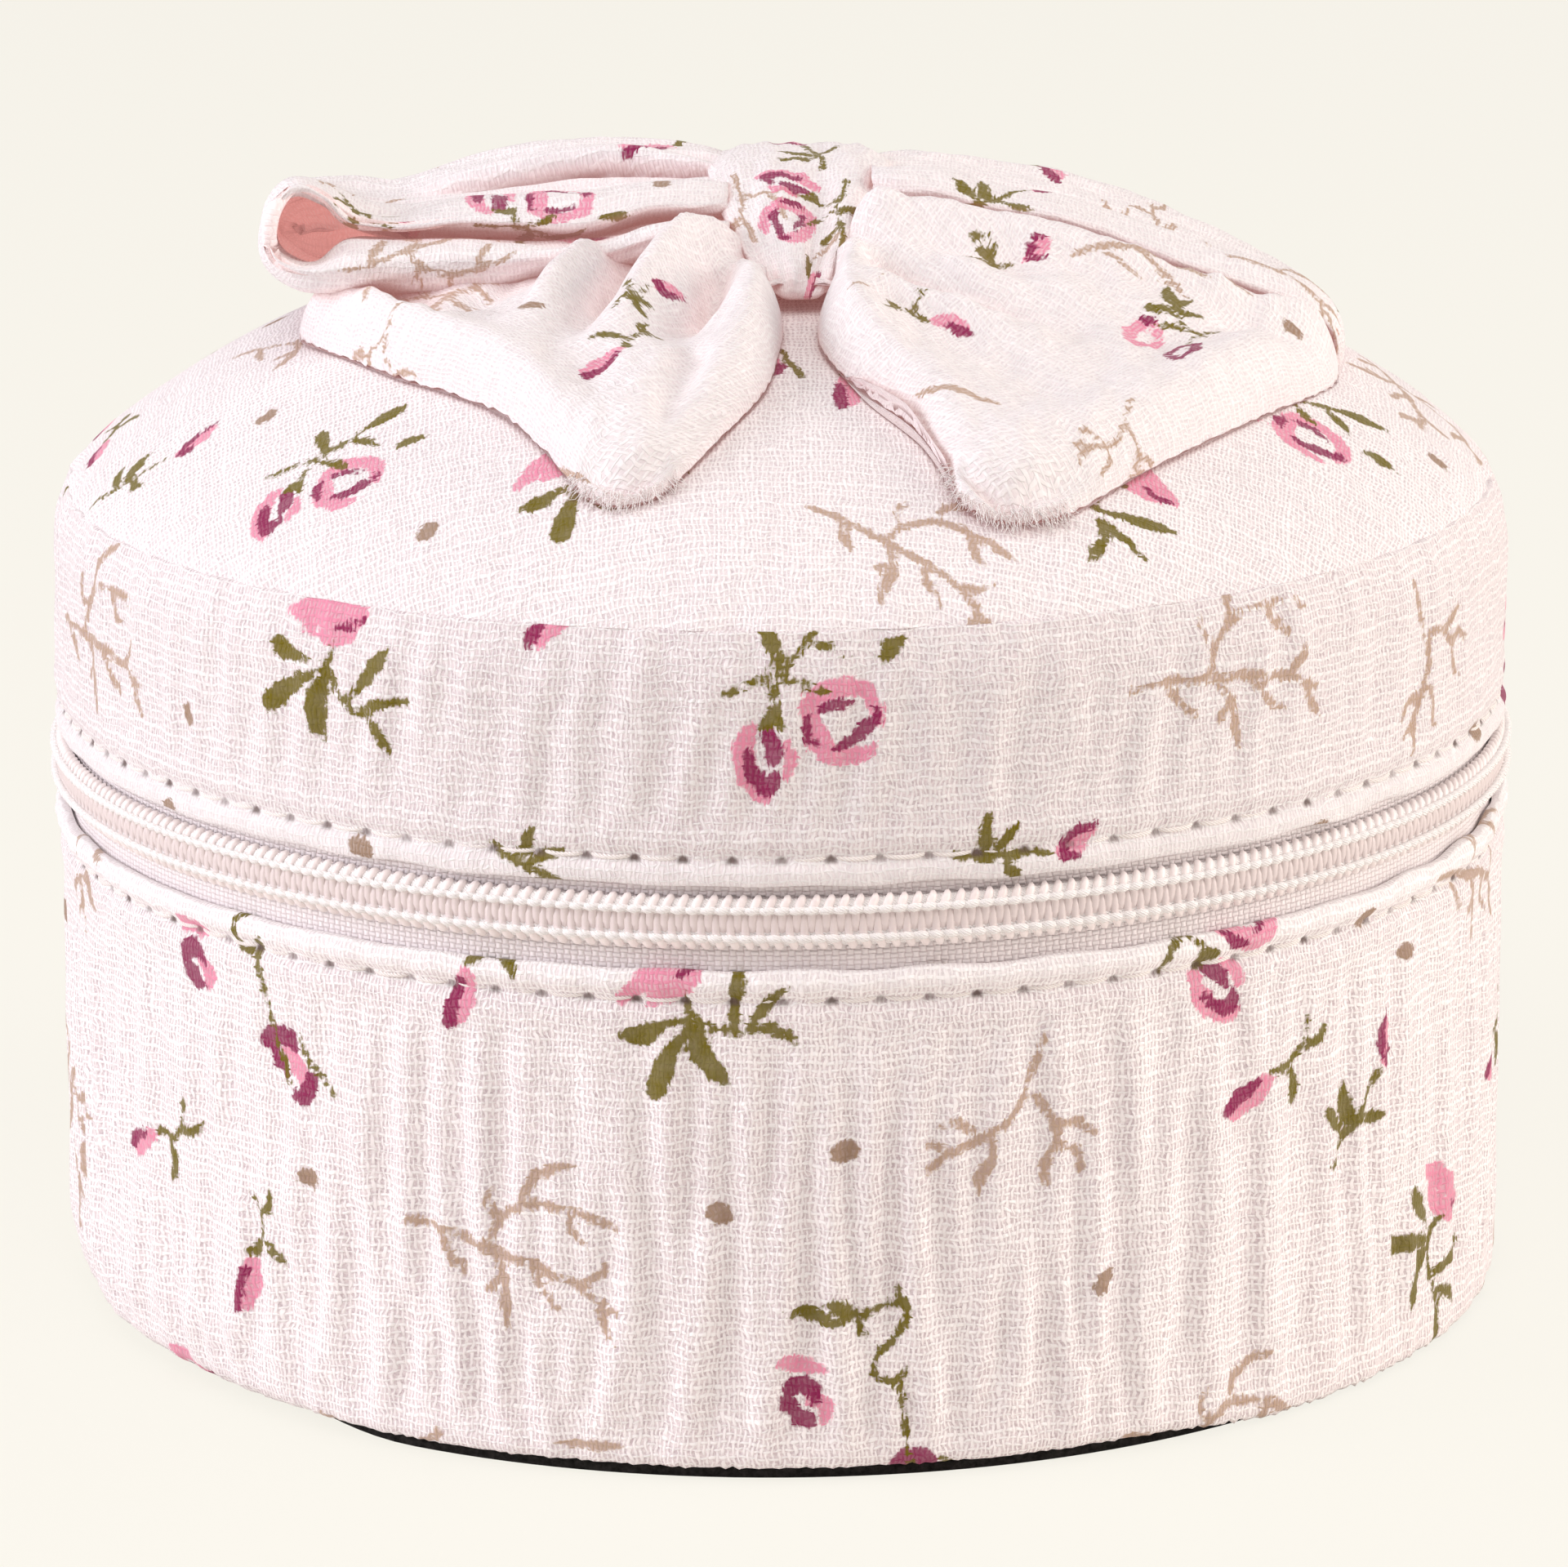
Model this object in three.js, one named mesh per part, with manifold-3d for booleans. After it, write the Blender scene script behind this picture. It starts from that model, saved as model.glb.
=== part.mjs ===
// Round zippered jewelry case: two card drums covered in printed cotton gauze, joined by a
// fabric hinge at the back and a coil zip round the front, with a soft bow on the padded lid.
// Millimetres, +Z up. The origin is the centre of the underside, and -Y is the front.
import * as THREE from 'three';
import { mergeVertices } from 'three/addons/utils/BufferGeometryUtils.js';
import Module from 'manifold-3d';

const wasm = await Module();
wasm.setup();

// Driving sizes of the drum
const caseRadius = 60;
const gauze = 0.6;
const lining = 0.5;
const seatGap = 0.3;
const board = 1.6;
const topBoard = 2;
const ringSteps = 48;

// Heights from the table upwards
const baseDiscThickness = 0.9;
const floorBoardThickness = 2;
const floorPadThickness = 1.6;
const baseHemHeight = 41.6;
const zipGap = 6.7;
const lidSeamHeight = 67.7;
const domeRise = 17.5;
const domeFullness = 2.56;
const domeShoulder = 1.19;
const seamInset = 1.4;
const hemBehindBoard = 0.8;

// Zip: tape, coil, slider, stops
const tapeThickness = 0.4;
const tapeHidden = 8;
const coilHeight = 1.75;
const coilThickness = 1;
const coilParting = 1.1;
const hingeHalfAngle = 38;
const sliderLength = 8;
const sliderHeight = 4.8;
const sliderPlate = 0.9;
const sliderClearance = 0.45;
const sliderPostWidth = 1.8;
const sliderPostHeight = 0.5;
const sliderParkAngle = 10;
const stopLength = 1.8;
const stopThickness = 1.3;
const stopInset = 1.5;

// Bridge of the slider, and the tab that swings in it
const bridgeReach = 2.2;
const bridgeWidth = 1.6;
const bridgeBar = 0.8;
const bridgeOpening = 1.8;
const pinRadius = 0.45;
const tabLength = 18;
const tabWidth = 5.6;
const tabNeck = 4.4;
const tabThickness = 1.1;
const tabEyeReach = 3.7;

// Hem stitching
const threadSize = 0.35;
const stitchInset = 2.8;
const upperStitchInset = 1.7;

// Inside of the base
const dividerThickness = 2.4;
const dividerHeight = 29;
const rollBedHeight = 8;
const rollCount = 4;
const rollGap = 0.4;
const rollMargin = 4.6;

// Inside of the lid
const mirrorRadius = 40;
const mirrorThickness = 1.6;
const mirrorRim = 3;
const rimThickness = 2.2;

// Bow
const bowCentre = 1.8;
const bowBand = 1.4;
const knotWidth = 14.4;
const knotHeight = 9.1;
const knotBand = 1.2;
const knotFront = -19.5;
const knotBack = 13.5;
const knotSquare = 0.3;
const pinchFront = -15.5;
const pinchBack = 9;
const loopFront = -10;
const loopBack = 16.5;
const loopSpread = 16;
const tailThickness = 1.6;
const tailSeat = 0.4;
const tailLevel = 2;
const tailSlope = 0.8;
const tailDroop = 0.25;

// Derived radii, from the outside inwards
const coverInner = caseRadius - gauze;
const tapeOuter = coverInner - seatGap;
const tapeInner = tapeOuter - tapeThickness;
const boardOuter = tapeInner - seatGap;
const boardInner = boardOuter - board;
const liningOuter = boardInner - seatGap;
const liningInner = liningOuter - lining;
const insideRadius = liningInner - seatGap;
const domeRadius = caseRadius - seamInset;
const coilInner = tapeOuter + seatGap;
const coilOuter = coilInner + coilThickness;

// Derived heights
const coverFoot = baseDiscThickness + seatGap;
const boardFoot = coverFoot + gauze + seatGap;
const floorBoardTop = boardFoot + floorBoardThickness;
const floorPadFoot = floorBoardTop + seatGap;
const floorPadTop = floorPadFoot + floorPadThickness;
const floorLiningTop = floorPadTop + seatGap + lining;
const insideFloor = floorLiningTop + seatGap;
const lidHemHeight = baseHemHeight + zipGap;
const zipMiddle = baseHemHeight + zipGap / 2;
const lidBoardFoot = lidHemHeight + hemBehindBoard;
const baseBoardTop = baseHemHeight - hemBehindBoard;
const lidTopBoardFoot = lidSeamHeight - topBoard - seatGap;
const domeFoot = lidSeamHeight + seatGap;
const lidLiningTop = lidTopBoardFoot - seatGap;
const mirrorTop = lidLiningTop - lining - seatGap;
const domeTop = lidSeamHeight + domeRise;
const knotFloor = domeTop + seatGap;
const knotTop = knotFloor + knotHeight;

const rad = (degrees) => degrees * Math.PI / 180;
const arcDegrees = (length, radius) => length / radius * 180 / Math.PI;

// Finishes
const finish = (color, roughness, metalness = 0) => new THREE.MeshStandardMaterial({ color, roughness, metalness });
const printedGauze = finish('#f1e3e4', 0.9);
const plainTape = finish('#efdfe0', 0.7);
const nylon = finish('#f3e6e6', 0.4);
const cotton = finish('#f6efec', 0.8);
const greyBoard = finish('#b9b3aa', 0.9);
const blackBoard = finish('#1b1b1c', 0.8);
const foam = finish('#f2ede2', 0.95);
const velvet = finish('#e9cfd0', 0.95);
const silvered = finish('#dfe6ea', 0.05, 1);
const enamel = finish('#ecd9da', 0.35, 0.4);

const jewelryCase = new THREE.Group();

// Turns a closed surface face-out and adds it under its name
function addPiece(name, geometry, material) {
  geometry.deleteAttribute('normal');
  geometry.deleteAttribute('uv');
  const merged = mergeVertices(geometry, 1e-3);
  const mesh = new THREE.Mesh(facedOut(merged), material);
  mesh.name = name;
  jewelryCase.add(mesh);
}

function facedOut(geometry) {
  const at = geometry.getAttribute('position');
  const all = geometry.index.array;
  const whole = [];
  for (let i = 0; i < all.length; i += 3) {
    const [p, q, r] = all.slice(i, i + 3);
    if (p !== q && q !== r && r !== p) whole.push(p, q, r);
  }
  geometry.setIndex(whole);
  const index = geometry.index.array;
  const [a, b, c] = [new THREE.Vector3(), new THREE.Vector3(), new THREE.Vector3()];
  let volume = 0;
  for (let i = 0; i < index.length; i += 3) {
    a.fromBufferAttribute(at, index[i]);
    b.fromBufferAttribute(at, index[i + 1]);
    c.fromBufferAttribute(at, index[i + 2]);
    volume += a.dot(b.cross(c));
  }
  if (volume < 0) {
    for (let i = 0; i < index.length; i += 3) [index[i], index[i + 2]] = [index[i + 2], index[i]];
  }
  return geometry;
}

// A profile of [radius, height] points spun about the case's axis; it closes on itself or on the axis
function spun(profile) {
  const points = profile.map(([radius, height]) => new THREE.Vector2(radius, height));
  if (profile[0][0] > 0) points.push(points[0].clone());
  return new THREE.LatheGeometry(points, ringSteps).rotateX(Math.PI / 2);
}

function tube(inner, outer, foot, top) {
  return spun([[inner, foot], [outer, foot], [outer, top], [inner, top]]);
}

function disc(radius, foot, top) {
  return spun([[0, foot], [radius, foot], [radius, top], [0, top]]);
}

// A curved strip of wall between two angles, measured in degrees from +X
function arcWall(inner, outer, foot, top, from, to) {
  const shape = new THREE.Shape();
  shape.absarc(0, 0, outer, rad(from), rad(to), false);
  shape.absarc(0, 0, inner, rad(to), rad(from), true);
  // An arc is drawn with twice as many steps as its curve segments
  const steps = Math.max(2, Math.ceil((to - from) / 360 * ringSteps / 2));
  const options = { depth: top - foot, bevelEnabled: false, curveSegments: steps };
  return new THREE.ExtrudeGeometry(shape, options).translate(0, 0, foot);
}

function boxBetween(low, high) {
  const size = high.map((value, i) => value - low[i]);
  const middle = high.map((value, i) => (value + low[i]) / 2);
  return new THREE.BoxGeometry(...size).translate(...middle);
}

// Joining solids
function toSolid(geometry) {
  geometry.deleteAttribute('normal');
  geometry.deleteAttribute('uv');
  const merged = facedOut(mergeVertices(geometry, 1e-3));
  const vertProperties = new Float32Array(merged.getAttribute('position').array);
  return new wasm.Manifold(new wasm.Mesh({ numProp: 3, vertProperties, triVerts: new Uint32Array(merged.index.array) }));
}

function toGeometry(solid) {
  const mesh = solid.getMesh();
  const geometry = new THREE.BufferGeometry();
  geometry.setAttribute('position', new THREE.BufferAttribute(new Float32Array(mesh.vertProperties), mesh.numProp));
  geometry.setIndex(new THREE.BufferAttribute(new Uint32Array(mesh.triVerts), 1));
  return geometry;
}

function joined(...geometries) {
  return toGeometry(geometries.map(toSolid).reduce((all, next) => all.add(next)));
}

// Height of the padded dome at a distance from the axis
function domeHeight(radius) {
  const share = Math.min(radius / domeRadius, 1);
  return lidSeamHeight + domeRise * (1 - share ** domeFullness) ** (1 / domeShoulder);
}

// Points down the dome from the axis to its rim, closer together where it turns over
function domeProfile(drop, rim) {
  const steps = 11;
  return Array.from({ length: steps + 1 }, (_, i) => {
    const radius = rim * Math.sin(Math.PI / 2 * i / steps) ** 0.8;
    return [radius, domeHeight(radius * domeRadius / rim) - drop];
  });
}

// Base drum
addPiece('base_disc', disc(boardOuter, 0, baseDiscThickness), blackBoard);
addPiece('base_floor_board', disc(boardInner - seatGap, boardFoot, floorBoardTop), greyBoard);
addPiece('base_wall_board', tube(boardInner, boardOuter, boardFoot, baseBoardTop), greyBoard);

// The cover turns under the board at its foot, and a sunk line takes the hem stitching
function coverProfile(foot, top, stitchHeight) {
  const sunk = caseRadius - threadSize;
  const half = threadSize / 2 + seatGap;
  return [
    [coverInner, foot], [caseRadius, foot],
    [caseRadius, stitchHeight - half], [sunk, stitchHeight - half],
    [sunk, stitchHeight + half], [caseRadius, stitchHeight + half],
    [caseRadius, top], [coverInner, top],
  ];
}
const baseStitchHeight = baseHemHeight - stitchInset;
const lidStitchHeight = lidHemHeight + upperStitchInset;
const turnUnder = [[coverInner, coverFoot + gauze], [boardInner, coverFoot + gauze], [boardInner, coverFoot]];
addPiece('base_cover', spun([...turnUnder, ...coverProfile(coverFoot, baseHemHeight, baseStitchHeight).slice(1)]),
  printedGauze);

function stitchRing(height) {
  const inner = caseRadius - threadSize + seatGap;
  return tube(inner, coilOuter, height - threadSize / 2, height + threadSize / 2);
}
addPiece('base_hem_stitching', stitchRing(baseStitchHeight), cotton);

// Zip: the tape and coil run from one side of the hinge strip round the front to the other
const zipEnd = 90 - hingeHalfAngle;
const zipFrom = 180 - zipEnd;
const zipTo = 360 + zipEnd;
const lowerEdge = zipMiddle - coilParting / 2;
const upperEdge = zipMiddle + coilParting / 2;
addPiece('zip_tape_lower', arcWall(tapeInner, tapeOuter, baseHemHeight - tapeHidden, lowerEdge, zipFrom, zipTo),
  plainTape);
addPiece('zip_tape_upper', arcWall(tapeInner, tapeOuter, upperEdge, lidHemHeight + tapeHidden, zipFrom, zipTo),
  plainTape);
const coilEndInset = stopInset + stopLength + seatGap;
const coilFrom = zipFrom + arcDegrees(coilEndInset, coilInner);
const coilTo = zipTo - arcDegrees(coilEndInset, coilInner);
addPiece('zip_coil_lower', arcWall(coilInner, coilOuter, lowerEdge - coilHeight, lowerEdge, coilFrom, coilTo), nylon);
addPiece('zip_coil_upper', arcWall(coilInner, coilOuter, upperEdge, upperEdge + coilHeight, coilFrom, coilTo), nylon);

// Stops: one on each row at the closed end, and a square one on the lower row where the zip begins
const stopOuter = coilInner + stopThickness;
const stopFrom = zipTo - arcDegrees(stopInset + stopLength, coilInner);
const stopTo = zipTo - arcDegrees(stopInset, coilInner);
addPiece('zip_top_stop_lower', arcWall(coilInner, stopOuter, lowerEdge - coilHeight, lowerEdge, stopFrom, stopTo),
  enamel);
addPiece('zip_top_stop_upper', arcWall(coilInner, stopOuter, upperEdge, upperEdge + coilHeight, stopFrom, stopTo),
  enamel);
const boxStopFrom = zipFrom + arcDegrees(stopInset, coilInner);
const boxStopTo = zipFrom + arcDegrees(stopInset + stopLength, coilInner);
addPiece('zip_bottom_stop', arcWall(coilInner, stopOuter, lowerEdge - coilHeight, lowerEdge, boxStopFrom, boxStopTo),
  enamel);

// Slider: an outer and an inner plate joined by a thin post between the two rows
const parkedAngle = zipEnd - sliderParkAngle;
const sliderHalf = arcDegrees(sliderLength / 2, coilOuter);
const outerPlateIn = coilOuter + sliderClearance;
const outerPlateOut = outerPlateIn + sliderPlate;
const innerPlateOut = tapeInner - sliderClearance;
const innerPlateIn = innerPlateOut - sliderPlate;
const sliderFoot = zipMiddle - sliderHeight / 2;
const sliderTop = zipMiddle + sliderHeight / 2;
const overlap = 0.2;
// Pieces of the slider and tab are made with the radius along +X, then turned to the parked angle
function parked(geometry) {
  return geometry.rotateZ(rad(parkedAngle));
}
const bridgeTopIn = outerPlateOut + bridgeOpening;
const bridgeTopOut = bridgeTopIn + bridgeBar;
const outerPlate = arcWall(outerPlateIn, outerPlateOut, sliderFoot, sliderTop, -sliderHalf, sliderHalf);
const innerPlate = arcWall(innerPlateIn, innerPlateOut, sliderFoot, sliderTop, -sliderHalf, sliderHalf);
const post = boxBetween(
  [innerPlateOut - overlap, -sliderPostWidth / 2, zipMiddle - sliderPostHeight / 2],
  [outerPlateIn + overlap, sliderPostWidth / 2, zipMiddle + sliderPostHeight / 2]);
const bridgeLow = zipMiddle - bridgeWidth / 2;
const bridgeHigh = zipMiddle + bridgeWidth / 2;
const bridgeLegs = [-1, 1].map((side) => {
  const near = side * (bridgeReach - bridgeBar);
  const far = side * bridgeReach;
  return boxBetween(
    [outerPlateOut - overlap, Math.min(near, far), bridgeLow],
    [bridgeTopIn + overlap, Math.max(near, far), bridgeHigh]);
});
const bridgeTop = boxBetween([bridgeTopIn, -bridgeReach, bridgeLow], [bridgeTopOut, bridgeReach, bridgeHigh]);
addPiece('zip_slider', parked(joined(outerPlate, innerPlate, post, ...bridgeLegs, bridgeTop)), enamel);

// Pull tab: a flat tab with an eye, whose pin passes under the slider's bridge
const pinDistance = outerPlateOut + bridgeOpening / 2;
const cheekHigh = tabNeck / 2;
const cheekLow = bridgeWidth / 2 + seatGap;
const pin = new THREE.CylinderGeometry(pinRadius, pinRadius, 2 * cheekLow + 2 * overlap, 12)
  .rotateX(Math.PI / 2).translate(pinDistance, 0, zipMiddle);
const cheeks = [-1, 1].map((side) => boxBetween(
  [pinDistance - tabThickness / 2, -pinRadius, zipMiddle + Math.min(side * cheekLow, side * cheekHigh)],
  [pinDistance + tabThickness / 2, tabEyeReach + overlap, zipMiddle + Math.max(side * cheekLow, side * cheekHigh)]));
const tabOutline = new THREE.Shape();
tabOutline.moveTo(tabEyeReach, -tabNeck / 2);
tabOutline.lineTo(tabLength - tabWidth / 2, -tabWidth / 2);
tabOutline.absarc(tabLength - tabWidth / 2, 0, tabWidth / 2, -Math.PI / 2, Math.PI / 2, false);
tabOutline.lineTo(tabEyeReach, tabNeck / 2);
tabOutline.closePath();
const tabBlade = new THREE.ExtrudeGeometry(tabOutline, { depth: tabThickness, bevelEnabled: false, curveSegments: 10 })
  .translate(0, 0, -tabThickness / 2).rotateX(Math.PI / 2).rotateZ(Math.PI / 2)
  .translate(pinDistance, 0, zipMiddle);
addPiece('zip_pull_tab', parked(joined(pin, ...cheeks, tabBlade)), enamel);

// Hinge strip at the back: one cloth, parted at its fold so that each half follows its own drum
const stripEnd = 90 - hingeHalfAngle + arcDegrees(seatGap, tapeInner);
const foldParting = 0.2;
addPiece('hinge_strip_lower',
  arcWall(tapeInner, tapeOuter, baseHemHeight - tapeHidden, zipMiddle - foldParting, stripEnd, 180 - stripEnd),
  printedGauze);
addPiece('hinge_strip_upper',
  arcWall(tapeInner, tapeOuter, zipMiddle + foldParting, lidHemHeight + tapeHidden, stripEnd, 180 - stripEnd),
  printedGauze);

// Inside of the base
addPiece('floor_pad', disc(insideRadius, floorPadFoot, floorPadTop), foam);
addPiece('floor_lining', disc(insideRadius, floorPadTop + seatGap, floorLiningTop), velvet);
addPiece('base_wall_lining', tube(liningInner, liningOuter, floorPadFoot, baseBoardTop), velvet);
const halfDivider = dividerThickness / 2;
const dividerReach = Math.sqrt(insideRadius ** 2 - halfDivider ** 2);
addPiece('main_divider', boxBetween(
  [-dividerReach, -halfDivider, insideFloor], [dividerReach, halfDivider, insideFloor + dividerHeight]), velvet);
addPiece('cross_divider', boxBetween(
  [-halfDivider, halfDivider + seatGap, insideFloor], [halfDivider, dividerReach, insideFloor + dividerHeight]), velvet);

// Ring holder: soft rolls side by side on a D-shaped bed in the front half
const bedEdge = -halfDivider - seatGap;
const rollSpacing = (insideRadius + bedEdge - rollMargin) / rollCount;
const rollRadius = (rollSpacing - rollGap) / 2;
const bedAngle = Math.asin(-bedEdge / insideRadius);
const bedShape = new THREE.Shape();
bedShape.absarc(0, 0, insideRadius, Math.PI + bedAngle, 2 * Math.PI - bedAngle, false);
bedShape.closePath();
addPiece('ring_roll_bed', new THREE.ExtrudeGeometry(bedShape,
  { depth: rollBedHeight, bevelEnabled: false, curveSegments: ringSteps / 4 }).translate(0, 0, insideFloor), velvet);
for (let i = 0; i < rollCount; i++) {
  const y = bedEdge - seatGap - rollRadius - i * rollSpacing;
  const reach = Math.sqrt(insideRadius ** 2 - (rollRadius - y) ** 2);
  const z = insideFloor + rollBedHeight + seatGap + rollRadius;
  const capsule = new THREE.CapsuleGeometry(rollRadius, 2 * (reach - rollRadius), 3, 14);
  addPiece(`ring_roll_${i + 1}`, capsule.rotateZ(Math.PI / 2).translate(0, y, z), velvet);
}

// Lid drum
addPiece('lid_wall_board', tube(boardInner, boardOuter, lidBoardFoot, lidSeamHeight - seatGap), greyBoard);
addPiece('lid_top_board', disc(boardInner - seatGap, lidTopBoardFoot, lidSeamHeight - seatGap), greyBoard);
addPiece('lid_band_cover', spun(coverProfile(lidHemHeight, lidSeamHeight - seatGap, lidStitchHeight)), printedGauze);
addPiece('lid_hem_stitching', stitchRing(lidStitchHeight), cotton);
const padDrop = gauze + seatGap;
const padRim = domeRadius - padDrop;
const padProfile = domeProfile(padDrop, padRim).filter(([, height]) => height > domeFoot).reverse();
addPiece('lid_foam_pad', spun([[0, domeFoot], [padProfile[0][0], domeFoot], ...padProfile]), foam);
const coverOutside = domeProfile(0, domeRadius);
const coverInside = domeProfile(gauze, domeRadius - gauze).filter(([, height]) => height > lidSeamHeight);
addPiece('lid_top_cover', spun([...coverInside, [domeRadius - gauze, lidSeamHeight], ...coverOutside.reverse()]),
  printedGauze);

// Inside of the lid
addPiece('lid_wall_lining', tube(liningInner, liningOuter, lidBoardFoot, lidTopBoardFoot - seatGap), velvet);
addPiece('lid_top_lining', disc(insideRadius, lidLiningTop - lining, lidLiningTop), velvet);
addPiece('lid_mirror', disc(mirrorRadius, mirrorTop - mirrorThickness, mirrorTop), silvered);
addPiece('mirror_rim',
  tube(mirrorRadius + seatGap, mirrorRadius + seatGap + mirrorRim, mirrorTop - rimThickness, mirrorTop), velvet);

// A band closed on itself: each section is a list of corner points, and every section has as many
function hoop(sections) {
  const corners = sections[0].length;
  const position = sections.flat(2);
  const index = [];
  for (let i = 0; i < sections.length; i++) {
    for (let j = 0; j < corners; j++) {
      const next = (i + 1) % sections.length;
      const [a, b] = [i * corners + j, i * corners + (j + 1) % corners];
      const [c, d] = [next * corners + (j + 1) % corners, next * corners + j];
      index.push(a, b, c, a, c, d);
    }
  }
  return indexed(position, index);
}

// A cloth with thickness from rows of upper and lower points
function slab(upper, lower) {
  const rows = upper.length;
  const columns = upper[0].length;
  const position = [...upper.flat(2), ...lower.flat(2)];
  const under = rows * columns;
  const index = [];
  const quad = (a, b, c, d) => index.push(a, b, c, a, c, d);
  for (let i = 0; i + 1 < rows; i++) {
    for (let j = 0; j + 1 < columns; j++) {
      const a = i * columns + j;
      const b = a + columns;
      quad(a, b, b + 1, a + 1);
      quad(under + a, under + a + 1, under + b + 1, under + b);
    }
  }
  for (let i = 0; i + 1 < rows; i++) {
    for (const j of [0, columns - 1]) {
      const a = i * columns + j;
      const b = a + columns;
      if (j === 0) quad(a, under + a, under + b, b);
      else quad(a, b, under + b, under + a);
    }
  }
  for (let j = 0; j + 1 < columns; j++) {
    for (const i of [0, rows - 1]) {
      const a = i * columns + j;
      if (i === 0) quad(a, a + 1, under + a + 1, under + a);
      else quad(a, under + a, under + a + 1, a + 1);
    }
  }
  return indexed(position, index);
}

function indexed(position, index) {
  const geometry = new THREE.BufferGeometry();
  geometry.setAttribute('position', new THREE.Float32BufferAttribute(position, 3));
  geometry.setIndex(index);
  return geometry;
}

// Bow loops: one band of folded gauze, pinched in the middle. Points are [x, height above the dome's top] of
// its middle line, from the knot along the right loop's top and back under it, then the same on the left.
const tailsTop = knotFloor + knotBand + seatGap + tailThickness;
const pinchLow = tailsTop + seatGap + bowBand / 2 - domeTop;
const pinchHigh = knotTop - knotBand - seatGap - bowBand / 2 - domeTop;
const pinchRight = bowCentre + knotWidth / 2 + seatGap;
const pinchLeft = bowCentre - knotWidth / 2 - seatGap;
const loopLine = [
  [pinchRight, pinchHigh], [15, 6.7], [22, 5.7], [30, 3.6], [38, 0.6], [44, -3], [46, -5.3],
  [43.5, -5.6], [36, -1.8], [26, 1.6], [16, 3.7], [pinchRight, pinchLow],
  [pinchLeft, pinchLow], [-14, 3.9], [-24, 2.4], [-33, -0.3], [-39, -1], [-42, 2], [-39.5, 5.6],
  [-33, 6], [-24, 7.4], [-14, 8], [pinchLeft, pinchHigh],
].map(([x, height]) => new THREE.Vector3(x, 0, domeTop + height));
const loopCurve = new THREE.CatmullRomCurve3(loopLine, true, 'centripetal');
const loopSteps = 60;

// How far a place is from the pinch, from 0 in the knot to 1 where the loop is fully open
function opening(x) {
  const aside = Math.max(0, Math.abs(x - bowCentre) - knotWidth / 2 - seatGap);
  return Math.min(1, aside / loopSpread);
}
const loopSections = loopCurve.getSpacedPoints(loopSteps).slice(0, -1).map((point, i) => {
  const along = loopCurve.getTangentAt(i / loopSteps);
  const [nx, nz] = [-along.z * bowBand / 2, along.x * bowBand / 2];
  const front = pinchFront + (loopFront - pinchFront) * opening(point.x);
  const back = pinchBack + (loopBack - pinchBack) * opening(point.x);
  return [
    [point.x + nx, front, point.z + nz], [point.x + nx, back, point.z + nz],
    [point.x - nx, back, point.z - nz], [point.x - nx, front, point.z - nz],
  ];
});
addPiece('bow_loops', hoop(loopSections), printedGauze);

// Bow tails: one strip under the knot, its two ends cut on the slant and draped over the dome
const tailInner = [
  [-12, -49], [-8.5, -41], [-5, -33], [-4.6, -26], [-7.6, -20.5], [-7.2, -15], [bowCentre, -14],
  [10.8, -15], [11.2, -20.5], [8.2, -26], [9, -33], [12.5, -42], [17, -50],
];
const tailOuter = [
  [-39.5, -5], [-34, -4], [-26, -3], [-19, -2], [-13, 0], [-7.2, 2], [bowCentre, 3],
  [10.8, 2], [16, -2], [22, -5], [29, -8], [36, -11], [44, -15],
];
const edgeCurve = (points) => new THREE.CatmullRomCurve3(points.map(([x, y]) => new THREE.Vector3(x, y, 0)));
const innerEdge = edgeCurve(tailInner);
const outerEdge = edgeCurve(tailOuter);
const tailRows = 36;
const tailColumns = 6;
// The tails leave the knot at its inside floor and slope down, sideways and forwards, on to the dome
function tailFloor(x, y) {
  const aside = Math.max(0, Math.abs(x - bowCentre) - knotWidth / 2 - tailLevel);
  const forward = Math.max(0, knotFront - y);
  const lifted = knotFloor + knotBand + seatGap - aside * tailSlope - forward * tailDroop;
  return Math.max(domeHeight(Math.hypot(x, y)) + tailSeat, lifted);
}
const upperRows = [];
const lowerRows = [];
for (let i = 0; i <= tailRows; i++) {
  const a = innerEdge.getPoint(i / tailRows);
  const b = outerEdge.getPoint(i / tailRows);
  const points = Array.from({ length: tailColumns }, (_, j) => a.clone().lerp(b, j / (tailColumns - 1)));
  lowerRows.push(points.map(({ x, y }) => [x, y, tailFloor(x, y)]));
  upperRows.push(points.map(({ x, y }) => [x, y, tailFloor(x, y) + tailThickness]));
}
addPiece('bow_tails', slab(upperRows, lowerRows), printedGauze);

// Knot: a folded band that goes round the pinched loops and tails
const knotMiddle = (knotFront + knotBack) / 2;
const knotHalfDepth = (knotBack - knotFront) / 2;
const knotHalfHeight = (knotTop - knotFloor) / 2;
const knotSteps = 28;
const roundBox = (value) => Math.sign(value) * Math.abs(value) ** knotSquare;
const knotSections = Array.from({ length: knotSteps }, (_, i) => {
  const turn = 2 * Math.PI * i / knotSteps;
  const at = (inset, x) => [
    x,
    knotMiddle + (knotHalfDepth - inset) * roundBox(Math.cos(turn)),
    knotFloor + knotHalfHeight + (knotHalfHeight - inset) * roundBox(Math.sin(turn)),
  ];
  const [left, right] = [bowCentre - knotWidth / 2, bowCentre + knotWidth / 2];
  return [at(0, left), at(0, right), at(knotBand, right), at(knotBand, left)];
});
addPiece('bow_knot', hoop(knotSections), printedGauze);

export default jewelryCase;
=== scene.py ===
import bpy
import bmesh
import math
import random
import numpy as np
from mathutils import Matrix


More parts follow.
